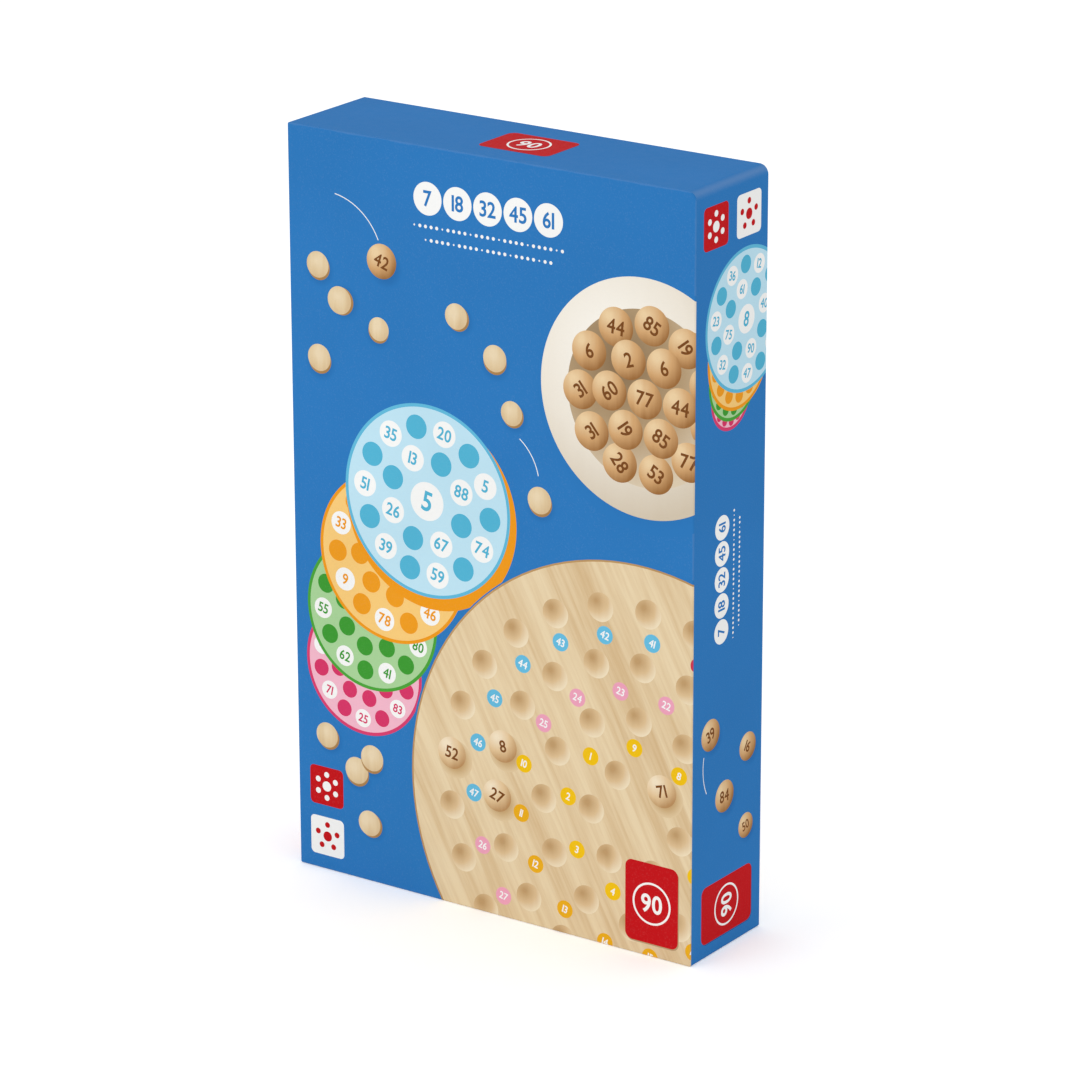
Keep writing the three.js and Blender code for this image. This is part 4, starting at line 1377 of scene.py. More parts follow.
@dataclass
class Lid(Carton):
    """The lid: a printed shell over the tray's whole depth, with one corner more rounded."""

    node: str = "lid"
    slot: str = "lid_print"
    upper_right: float = 4.5

    def lay_out(self, wall: Wall, sheet: BoxSheet) -> None:
        """Prints the front, the long sides and a label on the upper end.

        Args:
            wall: The wall.
            sheet: Its blue sheet.
        """
        if wall is Wall.FACE:
            sheet.front()
        elif wall in (Wall.RIGHT, Wall.LEFT):
            sheet.side(wall is Wall.LEFT)
        elif wall is Wall.TOP:
            sheet.number_label((3.5, -1), 38, 28)


@dataclass
class Tray(Carton):
    """The tray that the lid slides over: a printed back, four walls and a bare inside."""

    node: str = "tray"
    slot: str = "tray_carton"
    turned: bool = True
    turn_in: float = 12.0

    def lay_out(self, wall: Wall, sheet: BoxSheet) -> None:
        """Prints the back."""
        if wall is Wall.FACE:
            sheet.back()


def through(points: Sequence[Vector], steps: int) -> list[Vector]:
    """Gives a smooth curve through points, with more points where none was.

    Args:
        points: The points that the curve passes through.
        steps: New points for each stretch.

    Returns:
        The curve's points.
    """
    padded = [points[0] * 2 - points[1], *points, points[-1] * 2 - points[-2]]
    curve: list[Vector] = []
    for stretch in zip(padded, padded[1:], padded[2:], padded[3:]):
        knots = [0.0]
        for here, there in pairwise(stretch):
            knots.append(knots[-1] + max((there - here).length, 1e-9) ** 0.5)
        for step in range(steps):
            t = knots[1] + (knots[2] - knots[1]) * step / steps
            level = list(stretch)
            for starts, ends in ((knots[:3], knots[1:]), (knots[:2], knots[2:]), (knots[1:2], knots[2:3])):
                level = [a + (b - a) * ((t - start) / (end - start))
                         for (a, b), start, end in zip(pairwise(level), starts, ends)]
            curve += level
    return [*curve, points[-1]]


@dataclass
class Drawcord:
    """The bag's cotton drawcord: once round the neck, its two tails on the shoulders, a knot at each end.

    Its route is in metres from the middle of the last row of balls.
    """

    route: Sequence[Point] = (
        (-.082, -.0088, .0105), (-.070, -.0088, .0105), (-.058, -.0088, .0105), (-.046, -.0088, .0105),
        (-.034, -.0088, .0109), (-.024, -.0089, .0134), (-.014, -.0092, .0174), (-.006, -.0094, .0197),
        (.001, -.0092, .0203), (.0082, -.0072, .0204), (.0116, 0, .0207), (.0082, .0072, .0210),
        (0, .0094, .0214), (-.0082, .0072, .0219), (-.0116, 0, .0225), (-.0082, -.0072, .0232),
        (-.001, -.0092, .0236), (.006, -.0094, .0234), (.014, -.0092, .0210), (.024, -.0089, .0154),
        (.034, -.0088, .0114), (.046, -.0088, .0105), (.058, -.0088, .0105), (.070, -.0088, .0105),
        (.082, -.0088, .0105))
    diameter: float = 0.0025
    pitch: float = 6.5
    strands: int = 3
    groove: float = 0.22
    steps: int = 20
    knot_radius: float = 1.5
    knot_steps: int = 72
    finish: Finish = WovenCotton("cord_cotton", 0xF1ECE2, 3400)

    def build(self) -> None:
        (low, high), (row_low, row_high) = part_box("ball_bag"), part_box("ball_row_10")
        origin = Vector((0, (low.y + high.y) / 2, (row_low.z + row_high.z) / 2))
        route = [origin + Vector(point) for point in self.route]
        path = through([point / MM for point in route], self.steps)
        cord = self._laid("drawcord", path, self.diameter / 2 / MM, 18, "bag_drawcord")
        knots = [self._knot(f"drawcord_knot_{side}", path[end], inwards)
                 for side, end, inwards in (("left", 0, 1), ("right", -1, -1))]

    def _knot(self, name: str, end: Vector, inwards: int) -> bpy.types.Object:
        """Builds an overhand knot drawn tight over an end of the cord.

        Args:
            name: Its name.
            end: The cord's end.
            inwards: 1 or -1, the way along X to the cord.

        Returns:
            The knot.
        """
        line = []
        for step in range(self.knot_steps + 1):
            turn = TURN * step / self.knot_steps
            reach = self.knot_radius * (1 + 0.42 * math.cos(3 * turn))
            line.append(end + Vector((inwards * 1.6 + 1.15 * math.sin(3 * turn),
                                      reach * math.cos(2 * turn) * 0.72, reach * math.sin(2 * turn) * 0.72)))
        return self._laid(name, line, 0.98, 12)

    def _laid(self, name: str, path: Sequence[Vector], radius: float, sides: int,
              *nodes: str) -> bpy.types.Object:
        """Builds a laid cord: a tube whose section is a few round strands, turned along its path.

        Args:
            name: The piece's name.
            path: Its middle line in millimetres.
            radius: Its outer radius.
            sides: Points round the section.
            *nodes: The CAD nodes that it replaces.

        Returns:
            The piece.
        """
        rings: list[list[Point]] = []
        normal = Vector((0, 1, 0))
        gone = 0.0
        for index, here in enumerate(path):
            along = (path[min(index + 1, len(path) - 1)] - path[max(index - 1, 0)]).normalized()
            normal = (normal - along * normal.dot(along)).normalized()
            across = along.cross(normal)
            gone += (here - path[index - 1]).length if index else 0.0
            ring: list[Point] = []
            for side in range(sides):
                angle = TURN * side / sides
                lobe = abs(math.sin((angle + TURN * gone / self.pitch) * self.strands / 2))
                reach = radius * (1 - self.groove * (1 - lobe) ** 1.6)
                aside = here + normal * (reach * math.cos(angle))
                ring.append(tuple(aside + across * (reach * math.sin(angle))))
            rings.append(ring)
        draft = Draft()
        draft.loft(rings, self.finish, low_cap=True, high_cap=True)
        return settle(draft.as_object(name, smooth=60), "bag", "cord_cotton", *nodes)


def filleted(points: Sequence[Point], radius: float, steps: int = 3) -> list[Point]:
    """Rounds every corner of an outline.

    Args:
        points: The outline's corners in order.
        radius: How far from each corner its rounding starts.
        steps: Chords in each rounding.

    Returns:
        The rounded outline, in the same order.
    """
    rounded: list[Point] = []
    count = len(points)
    for index, here in enumerate(points):
        spots = (here, points[index - 1], points[index + 1 - count])
        corner, back, ahead = (Vector(spot) for spot in spots)
        start, end = (corner + away.normalized() * min(radius, away.length * 0.45)
                      for away in (back - corner, ahead - corner))
        for step in range(steps + 1):
            t = step / steps
            rounded.append(tuple(start * (1 - t) ** 2 + corner * (2 * t * (1 - t)) + end * t ** 2))
    return rounded


def carve(piece: bpy.types.Object, draft: Draft) -> None:
    """Cuts a drafted solid out of a piece, for good.

    Args:
        piece: The piece.
        draft: The solid that is taken away.
    """
    cutter = draft.as_object("cutter")
    cut = piece.modifiers.new("cut", "BOOLEAN")
    cut.operation = "DIFFERENCE"
    cut.solver = "EXACT"
    cut.use_self = True
    cut.object = cutter
    graph = bpy.context.evaluated_depsgraph_get()
    mesh = bpy.data.meshes.new_from_object(piece.evaluated_get(graph))
    piece.modifiers.clear()
    piece.data = mesh
    bpy.data.objects.remove(cutter)


@dataclass
class Plate:
    """A flat plate in its own frame, from (0, 0) and down from height 0, with softened edges."""

    width: float
    height: float
    thickness: float
    corners: Sequence[float]
    edge: float
    steps: int
    edge_steps: int

    def ring(self, inset: float) -> list[Point]:
        """Gives its outline drawn in by an inset."""
        radii = [max(radius - inset, 0.1) for radius in self.corners]
        return rounded_outline((inset, inset), (self.width - inset, self.height - inset), radii, self.steps)

    def build(self, draft: Draft, place: Place, sides: Finish, back: Finish, face: Artwork) -> None:
        """Builds the plate.

        Args:
            draft: Where its mesh goes.
            place: Puts a point of its own frame in the row frame.
            sides: The finish of its edges.
            back: The finish of its lower side.
            face: The print on its upper side, inside the ring at its edge's inset.
        """
        turns = [math.pi / 2 * step / self.edge_steps for step in range(self.edge_steps + 1)]
        levels = [(self.edge * (1 - math.sin(turn)), self.edge * (1 - math.cos(turn)) - self.thickness)
                  for turn in turns]
        levels += [(inset, -self.thickness - height) for inset, height in reversed(levels)]
        rings = [[place((x, y, height)) for x, y in self.ring(inset)] for inset, height in levels]
        draft.loft(rings, sides)
        draft.flat(rings[0], back, turned=True)
        draft.printed(face, place)


@dataclass
class Insert:
    """The insert: a grey card comb, a sheet with two ribs across it."""

    sheet: float = 1.0
    rib: float = 2.0
    rib_heights: tuple[float, float] = (207.7, 290.0)
    fold: float = 0.7
    cut_steps: int = 24

    def build(self) -> None:
        """Builds and dresses the insert."""
        box = NodeBox.of("insert")
        (left, front, low), (right, back, high) = box.low, box.high
        inner = back - self.sheet
        outline = [(back, low), (back, high), (inner, high)]
        for height in reversed(self.rib_heights):
            top = height + self.rib
            outline += [(inner, top), (front, top), (front, height), (inner, height)]
        outline.append((inner, low))
        draft = Draft()
        spans = [left + (right - left) * step / self.cut_steps for step in range(self.cut_steps + 1)]
        draft.prism(filleted(outline, self.fold), spans, lambda p: (p[2], p[0], p[1]), GREY_BOARD)
        settle(draft.as_object("insert_card", smooth=50), "tray", "insert_card", "insert")


@dataclass
class Leaflet:
    """The rules leaflet: one sheet of paper folded in half, with plain bars in place of its text."""

    sheet: float = 0.34
    column: float = 62.0
    lines: int = 23
    paper: Finish = RawBoard("leaflet_paper", 0xF7F6F2, 0xECE8DE, 0.02)

    def build(self) -> None:
        """Builds and dresses the leaflet."""
        box = NodeBox.of("rules_leaflet")
        (left, front, low), (right, back, high) = box.low, box.high
        fold = (back - front) / 2
        bend = (left + fold, (front + back) / 2)
        section = [(right, front), *arc_points(bend, fold, 270, 90, 8), (right, back),
                   (right, back - self.sheet), *arc_points(bend, fold - self.sheet, 90, 270, 8),
                   (right, front + self.sheet)]
        strip = [section[0], *reversed(section[1:])]
        draft = Draft()
        draft.loft([[(x, y, z) for x, y in strip] for z in (low, high)], self.paper, closed=False)
        draft.flat([(x, y, low) for x, y in section], self.paper)
        draft.flat([(x, y, high) for x, y in section], self.paper, turned=True)
        draft.printed(self._page((left + fold, low), (right, high)), lambda p: (p[0], front, p[1]))
        settle(draft.as_object("rules_leaflet_paper"), "leaflet", "leaflet_paper", "rules_leaflet")

    def _page(self, low: Point, high: Point) -> Artwork:
        """Lays out the first page: a row of dots, two columns of bars and a small table of dots.

        Args:
            low: The page's lower left corner.
            high: Its upper right corner.

        Returns:
            The page.
        """
        page = Artwork(corners_of(low, high), self.paper)
        middle, top = (low[0] + high[0]) / 2, high[1]
        for index, number in enumerate((8, 27, 36, 54, 63)):
            page.marked((middle + (index - 2) * 15, top - 17), 6.4, ink_of_number(number), number, 5.2)
        for side in (-1, 1):
            shares = [0.6 if line % 6 == 5 else 1.0 - 0.05 * ((line * 7 + side) % 4)
                      for line in range(self.lines)]
            page.bars((middle + side * 35, top - 36), self.column, shares, 5)
        for index in range(18):
            row, column = divmod(index, 9)
            page.disc((middle - 52 + column * 13, top - 160 - row * 14), 5, ink_of_number(index * 5 + 5))
        return page


def chamfered(radius: float, start: float, end: float, chamfer: float) -> list[Point]:
    """Gives the side of a round bar's profile, from one height to another, with chamfered ends."""
    side = radius - chamfer
    return [(side, start), (radius, start + chamfer), (radius, end - chamfer), (side, end)]


@dataclass
class BoardHalf:
    """One half of the folding board: a beech plank with pits, painted number dots and hinge pockets.

    Its own frame runs out from the spine, along the spine, and out of the pit face.
    """

    word: str
    turned: bool
    first_pit: float
    first_label: float
    columns: int = 9
    rows: int = 5
    column_pitch: float = 31.0
    row_pitch: float = 37.0
    column_margin: float = 21.0
    pit_radius: float = 9.0
    pit_depth: float = 3.8
    pit_lip: float = 0.3
    pit_sides: int = 36
    label_radius: float = 6.25
    label_height: float = 5.3
    edge: float = 1.1
    corner: float = 12.0
    clearance: float = 0.3
    overrun: float = 3.0

    def __post_init__(self) -> None:
        """Measures the half and sets its frame."""
        box = NodeBox.of(f"board_{self.word}_half")
        self.width, self.thickness, self.length = box.size
        self.spine = box.low[0]
        self.face, self.start = (box.high if self.turned else box.low)[1:]
        self.body = f"board_{self.word}"

    def placed(self, point: Point) -> Point:
        """Puts a point of the half in the row frame."""
        way = -1 if self.turned else 1
        return (self.spine + point[0], self.face - way * point[2], self.start + way * point[1])

    def build(self) -> None:
        """Builds and dresses the half."""
        corners = (self.edge, self.corner, self.corner, self.edge)
        plate = Plate(self.width, self.length, self.thickness, corners, self.edge, 9, 3)
        draft = Draft()
        plate.build(draft, self.placed, Wooden.BOARD.value, Wooden.BOARD.value, self._face(plate))
        for place in self._places(self.first_pit):
            self._pit(draft, place)
        piece = draft.as_object(f"{self.body}_wood", 35, WELD)
        carve(piece, self._pockets())
        piece.data.set_sharp_from_angle(angle=math.radians(35))
        settle(piece, self.body, "board_wood", f"{self.body}_half")

    def hinge_places(self) -> tuple[float, float]:
        """Gives the middles of the two hinges along the spine."""
        place = self.column_margin + 1.5 * self.column_pitch
        return place, self.length - place

    def _places(self, first: float) -> list[Point]:
        """Gives the places of the pits or the labels, row by row in each column."""
        return [(first + row * self.row_pitch, self.column_margin + column * self.column_pitch)
                for column in range(self.columns) for row in range(self.rows)]

    def _face(self, plate: Plate) -> Artwork:
        """Lays out the pit face.

        Args:
            plate: The plank.

        Returns:
            Its upper side, open where the pits are.
        """
        art = Artwork(plate.ring(plate.edge), Wooden.BOARD.value)
        for place in self._places(self.first_pit):
            art.disc(place, self.pit_radius + self.pit_lip, Ink.HOLE, self.pit_sides)
        for index, place in enumerate(self._places(self.first_label)):
            column, row = divmod(index, self.rows)
            number = (self.columns - 1 - column) * 10 + 5 - row if self.turned else column * 10 + 6 + row
            art.marked(place, self.label_radius, ink_of_number(number), number, self.label_height,
                       turn=-90 if self.turned else 90, sides=40)
        return art

    def _pit(self, draft: Draft, place: Point) -> None:
        """Builds one pit, a shallow bowl with a softened lip.

        Args:
            draft: Where its mesh goes.
            place: Its middle.
        """
        sphere = (self.pit_radius ** 2 + self.pit_depth ** 2) / (2 * self.pit_depth)
        middle = sphere - self.pit_depth
        levels = [(self.pit_radius + self.pit_lip, 0.0), (self.pit_radius + self.pit_lip * 0.3, -0.1)]
        for share in (0.955, 0.85, 0.7, 0.5, 0.28, 0.1):
            radius = self.pit_radius * share
            levels.append((radius, middle - math.sqrt(sphere ** 2 - radius ** 2)))
        rings = [[self.placed((x, y, height)) for x, y in circle(place, radius, self.pit_sides)]
                 for radius, height in levels]
        draft.loft(rings, Wooden.PIT.value, high_cap=True)

    def _pockets(self) -> Draft:
        """Drafts what the hinges' leaves and knuckles take from the spine.

        Returns:
            The solids that are taken away.
        """
        draft = Draft()
        reach, wide = Hinge.length / 2 + self.clearance, Hinge.knuckle + self.clearance
        for place in self.hinge_places():
            outline = corners_of((-self.overrun, place - reach), (Hinge.leaf + self.clearance, place + reach))
            draft.prism(outline, (-Hinge.leaf_width - self.clearance, self.overrun), self.placed,
                        Wooden.BOARD.value)
            profile = [(0, -reach), (wide, -reach), (wide, reach), (0, reach)]
            draft.lathe(profile, 32, Hinge.on_axis(self, place), Wooden.BOARD.value)
        return draft


@dataclass
class Hinge:
    """A butt hinge on the board's spine: two leaves with knuckles, a pin and four slotted screws."""

    number: int
    halves: tuple[BoardHalf, BoardHalf]
    length: float = 44.0
    leaf_width: float = 9.4
    leaf: float = 1.2
    knuckle: float = 2.25
    bore: float = 0.86
    bore_lip: float = 0.6
    pin: float = 0.8
    offset: float = 0.15
    gap: float = 0.15
    chamfer: float = 0.22
    screws: tuple[float, float] = (-14.0, 14.0)
    head: float = 2.1
    slot: tuple[float, float, float] = (1.75, 0.3, 0.4)
    sides: int = 40
    screw_sides: int = 28
    steel: Finish = PlatedSteel("hinge_steel")

    @classmethod
    def on_axis(cls, half: BoardHalf, middle: float) -> Place:
        """Gives the place of what turns about the hinge's axis, at a middle along the spine."""
        return lambda point: half.placed((point[1] - cls.offset, point[2] + middle, point[0] + cls.offset))

    def build(self) -> None:
        """Builds the whole hinge."""
        for half, own in zip(self.halves, ((0, 2), (1,))):
            middle = half.hinge_places()[self.number - 1]
            self._leaf(half, middle, own)
            for index, away in enumerate(self.screws, 1):
                self._screw(half, middle + away, index)
        rear, end = self.halves[0], self.length / 2
        draft = Draft()
        draft.lathe([(0, -end), *chamfered(self.pin, -end, end, self.chamfer), (0, end)], 24,
                    self.on_axis(rear, rear.hinge_places()[self.number - 1]), self.steel)
        self._finish(draft, rear, "pin")

    def _finish(self, draft: Draft, half: BoardHalf, name: str, smooth: float = 40,
                weld: float = 0.0) -> None:
        """Makes a steel piece of a draft, with the end of its node's name."""
        node = f"hinge_{self.number}_{name}"
        settle(draft.as_object(f"{node}_steel", smooth, weld), half.body, "hinge_steel", node)

    def _leaf(self, half: BoardHalf, middle: float, own: Sequence[int]) -> None:
        """Builds one leaf with its own knuckles.

        Args:
            half: The half that it is screwed to.
            middle: The hinge's middle along the spine.
            own: Which of the three knuckles are the leaf's.
        """
        low, step = -self.length / 2, self.length / 3
        spans = [(low + knuckle * step + (self.gap if knuckle else 0),
                  low + (knuckle + 1) * step - (self.gap if knuckle < 2 else 0)) for knuckle in range(3)]
        outline = [(low, -self.leaf_width), (-low, -self.leaf_width)]
        for knuckle in (2, 1, 0):
            top = 0.0 if knuckle in own else -(self.knuckle + self.gap)
            outline += [(place, top) for place in reversed(spans[knuckle])]
        draft = Draft()
        draft.prism(outline, (0.0, self.leaf), lambda p: half.placed((p[2], p[0] + middle, p[1])), self.steel)
        for start, end in (spans[knuckle] for knuckle in own):
            profile = [(self.bore, start + self.bore_lip), (self.bore, start),
                       *chamfered(self.knuckle, start, end, self.chamfer),
                       (self.bore, end), (self.bore, end - self.bore_lip)]
            draft.lathe(profile, self.sides, self.on_axis(half, middle), self.steel)
        self._finish(draft, half, f"leaf_{half.word}_half")

    def _screw(self, half: BoardHalf, along: float, index: int) -> None:
        """Builds one countersunk screw, its thread and its slotted head.

        Args:
            half: The half that it holds.
            along: Its place along the spine.
            index: Its number in its leaf.
        """
        def placed(point: Point) -> Point:
            """Puts a point of the screw in the leaf."""
            return half.placed((-point[2], along + point[1], point[0] - self.leaf_width / 2))

        flat = self.head - 0.1
        profile: list[Point] = [(0, -10), (0.35, -9.2), (0.75, -8.2)]
        for turn in range(10):
            profile += [(1.1, -7.9 + turn * 0.6), (0.8, -7.6 + turn * 0.6)]
        profile += [(1.05, -1.4), (1.1, -1.0), (self.head, -0.12), (flat, 0)]
        draft = Draft()
        draft.lathe(profile, self.screw_sides, placed, self.steel)
        long, wide, deep = self.slot
        slot = corners_of((-long, -wide), (long, wide))
        top = Artwork(circle((0, 0), flat, self.screw_sides), self.steel)
        top.shape(slot, Ink.HOLE)
        draft.printed(top, placed)
        draft.prism(slot, (0.0, -deep), placed, self.steel, low_cap=False)
        self._finish(draft, half, f"screw_{half.word}_half_{index}", 35, WELD)


@dataclass
class Balls:
    """The ninety wooden balls, row by row, each with its number burnt in."""

    rows: int = 10
    in_row: int = 9
    patch: float = 6.6
    figures: float = 6.0
    sides: int = 32
    steps: int = 9

    def build(self) -> None:
        """Builds the rows of balls."""
        order = list(range(1, self.rows * self.in_row + 1))
        random.Random(11).shuffle(order)
        for row in range(self.rows):
            node = f"ball_row_{row + 1:02d}"
            box = NodeBox.of(node)
            radius = box.size[1] / 2
            pitch = (box.size[0] - 2 * radius) / (self.in_row - 1)
            draft = Draft()
            for index in range(self.in_row):
                middle = (box.low[0] + radius + index * pitch, box.low[1] + radius, box.middle[2])
                self._ball(draft, middle, radius, order[row * self.in_row + index])
            settle(draft.as_object(f"{node}_wood", 80, WELD), "bag", "ball_wood", node)

    def _ball(self, draft: Draft, middle: Point, radius: float, number: int) -> None:
        """Builds one ball with its number on the side towards -Y.

        Args:
            draft: Where its mesh goes.
            middle: Its middle.
            radius: Its radius.
            number: Its number.
        """
        x, y, z = middle

        def placed(point: Point) -> Point:
            """Puts a point of the ball in the row frame."""
            return (x + point[0], y - point[2], z + point[1])

        def domed(point: Point) -> Point:
            """Puts a flat point on the ball's round."""
            across, up, _ = point
            return placed((across, up, math.sqrt(max(0.0, radius ** 2 - across ** 2 - up ** 2))))

        rim = math.asin(self.patch / radius)
        turns = [math.pi + (rim - math.pi) * step / self.steps for step in range(1, self.steps + 1)]
        profile = [(0, -radius), *[(radius * math.sin(turn), radius * math.cos(turn)) for turn in turns]]
        draft.lathe(profile, self.sides, placed, Wooden.BALL.value)
        art = Artwork(circle((0, 0), self.patch, self.sides), Wooden.BALL.value)
        art.creases = [circle((0, 0), self.patch * share, 20) for share in (0.35, 0.7)]
        art.number(number, (0, 0), self.figures, Ink.BURNT, (number * 67) % 360)
        draft.printed(art, domed)


@dataclass
class ClothBag:
    """The cotton bag: cloth laid over the balls, gathered into a neck with an open, frilled mouth."""

    neck_flat: float = 2.0
    neck_radius: float = 7.0
    neck_start: float = 2.6
    neck_length: float = 6.0
    mouth_flat: float = 8.0
    mouth_radius: float = 10.9
    hem: float = 0.22
    cloth: float = 0.8
    foot_angle: float = 15.0
    foot_rings: int = 10
    side_rings: int = 76
    shoulder_rings: int = 7
    gather_rings: int = 16
    neck_rings: int = 5
    mouth_rings: int = 10
    flat_points: int = 72
    end_points: int = 14
    pleats: int = 30
    rows: int = 10
    in_row: int = 9
    row_pitch: float = 17.58
    ball_pitch: float = 20.3
    dent: float = 1.9
    dent_reach: float = 6.5
    finish: Finish = WovenCotton("bag_cotton", 0xEFE7D9)

    def __post_init__(self) -> None:
        """Measures the bag from its solids and the rows of balls."""
        body, neck = NodeBox.of("ball_bag"), NodeBox.of("bag_neck")
        self.middle_y = body.middle[1]
        self.radius = body.size[1] / 2
        self.flat = body.high[0] - self.radius
        self.foot = NodeBox.of("ball_row_01").middle[2]
        self.shoulder = NodeBox.of("ball_row_10").middle[2]
        self.neck_low = neck.low[2] + self.neck_start
        self.mouth = neck.high[2]

    def build(self) -> None:
        """Builds and dresses the bag."""
        draft = Draft()
        draft.loft([self._ring(*level) for level in self._levels()], self.finish, low_cap=True)
        settle(draft.as_object("bag_cotton", smooth=89), "bag", "bag_cloth", "ball_bag", "bag_neck")

    def _levels(self) -> list[tuple[float, ...]]:
        """Gives each ring's height, flat, radius, share of ball bumps and depth of pleats, from the foot up.

        Returns:
            The rings' values: the foot, the rows of balls, the shoulders, the neck, the mouth and its inside.
        """
        flat, neck = self.flat, self.neck_radius
        levels: list[tuple[float, ...]] = []
        for step in range(self.foot_rings + 1):
            angle = self.foot_angle + (90 - self.foot_angle) * step / self.foot_rings
            rise, radius = (self.radius * part for part in polar((0, 0), 1, angle))
            levels.append((self.foot - rise, flat, radius, 1, 0))
        rise = self.shoulder - self.foot
        levels += [(self.foot + rise * step / self.side_rings, flat, self.radius, 1, 0)
                   for step in range(1, self.side_rings + 1)]
        for step in range(1, self.shoulder_rings + 1):
            radius, rise = (self.radius * part for part in polar((0, 0), 1, 10 * step))
            levels.append((self.shoulder + rise, flat, radius, 1 - 0.08 * step, 0.02 * step))
        top, _, narrow, bump, _ = levels[-1]
        for step in range(1, self.gather_rings + 1):
            share = step / self.gather_rings
            height = top + (self.neck_low - top) * share
            levels.append((height, flat + (self.neck_flat - flat) * share ** 1.25,
                           narrow + (neck - narrow) * share, bump * (1 - share), 0.14 + 0.6 * share))
        for step in range(1, self.neck_rings + 1):
            share = step / self.neck_rings
            waist = 0.25 * math.sin(share * math.pi)
            levels.append((self.neck_low + self.neck_length * share, self.neck_flat, neck - waist, 0, 0.75))
        neck_high = self.neck_low + self.neck_length
        outer: list[tuple[float, ...]] = []
        for step in range(1, self.mouth_rings + 1):
            share = step / self.mouth_rings
            flare = share ** 0.8
            hem = self.hem if share > 0.6 else 0.0
            outer.append((neck_high + (self.mouth - neck_high - 0.5) * share,
                          self.neck_flat + (self.mouth_flat - self.neck_flat) * flare,
                          neck + (self.mouth_radius - neck) * flare - 0.3 + hem, 0, 0.8))
        height, flat, radius, _, pleat = outer[-1]
        levels += [*outer, (height + 0.35, flat, radius - self.cloth * 0.35, 0, pleat)]
        levels += [(h, f, r - self.cloth, 0, p) for h, f, r, _, p in reversed(outer)]
        levels.append((neck_high - 3, self.neck_flat, neck - self.cloth - 0.2, 0, 0.6))
        levels.append((self.neck_low + 0.5, self.neck_flat + 1, neck - self.cloth - 1.2, 0, 0.4))
        return levels

    def _ring(self, height: float, flat: float, radius: float, bumps: float, pleat: float) -> list[Point]:
        """Gives one ring of the cloth, anticlockwise from the front's right end.

        Args:
            height: The ring's height.
            flat: Half the length of its straight sides.
            radius: The radius of its round ends.
            bumps: How much the balls show in it.
            pleat: The depth of its pleats.

        Returns:
            The ring's points.
        """
        ring: list[Point] = []
        count = 2 * (self.flat_points + self.end_points)
        for index in range(count):
            half, place = divmod(index, self.flat_points + self.end_points)
            side = 1 - 2 * half
            if place < self.end_points:
                turn = -math.pi / 2 + math.pi * place / self.end_points
                out_x, out_y = math.cos(turn), math.sin(turn)
                x, y = side * (flat + radius * out_x), radius * out_y
            else:
                share = (place - self.end_points) / self.flat_points
                out_x, out_y = 0.0, 1.0
                x, y = side * flat * (1 - 2 * share), radius
            fold = pleat * math.cos(TURN * self.pleats * index / count + 0.6 * math.sin(index * 0.31))
            fold += pleat * 0.35 * math.sin(index * 0.83 + height * 0.4)
            sunk = bumps * abs(out_y) ** 1.5 * self._dent(x, height)
            pulled = bumps * out_x * self._slack(side, height)
            creased = 0.16 * noise.noise(Vector((x * 0.09, height * 0.09, side * y * 0.05)))
            reach = radius + min(fold, 0.75) + creased - sunk - 0.25
            scale = max(reach, 0.6) / max(radius, 0.1)
            ring.append((x + side * out_x * (reach - radius - pulled), self.middle_y + side * y * scale,
                         height + 0.3 * pleat * math.sin(index * 0.47)))
        return ring

    def _dent(self, x: float, height: float) -> float:
        """Gives how far the cloth sinks between the balls.

        Args:
            x: The place across the flat.
            height: The place's height.

        Returns:
            The depth in millimetres.
        """
        row = round((height - self.foot) / self.row_pitch)
        nearest = 1e9
        for near in (row - 1, row, row + 1):
            if 0 <= near < self.rows:
                start = self.ball_pitch * ((-1) ** near / 4 - (self.in_row - 1) / 2)
                along = min(max(round((x - start) / self.ball_pitch), 0), self.in_row - 1)
                nearest = min(nearest, math.hypot(x - start - along * self.ball_pitch,
                                                  height - self.foot - near * self.row_pitch))
        return self.dent * (1 - math.exp(-(nearest / self.dent_reach) ** 2))

    def _slack(self, side: int, height: float) -> float:
        """Gives how far an end of the bag is drawn in beside the rows that stop short of it."""
        return self.dent * (1 - side * math.cos(math.pi * (height - self.foot) / self.row_pitch))


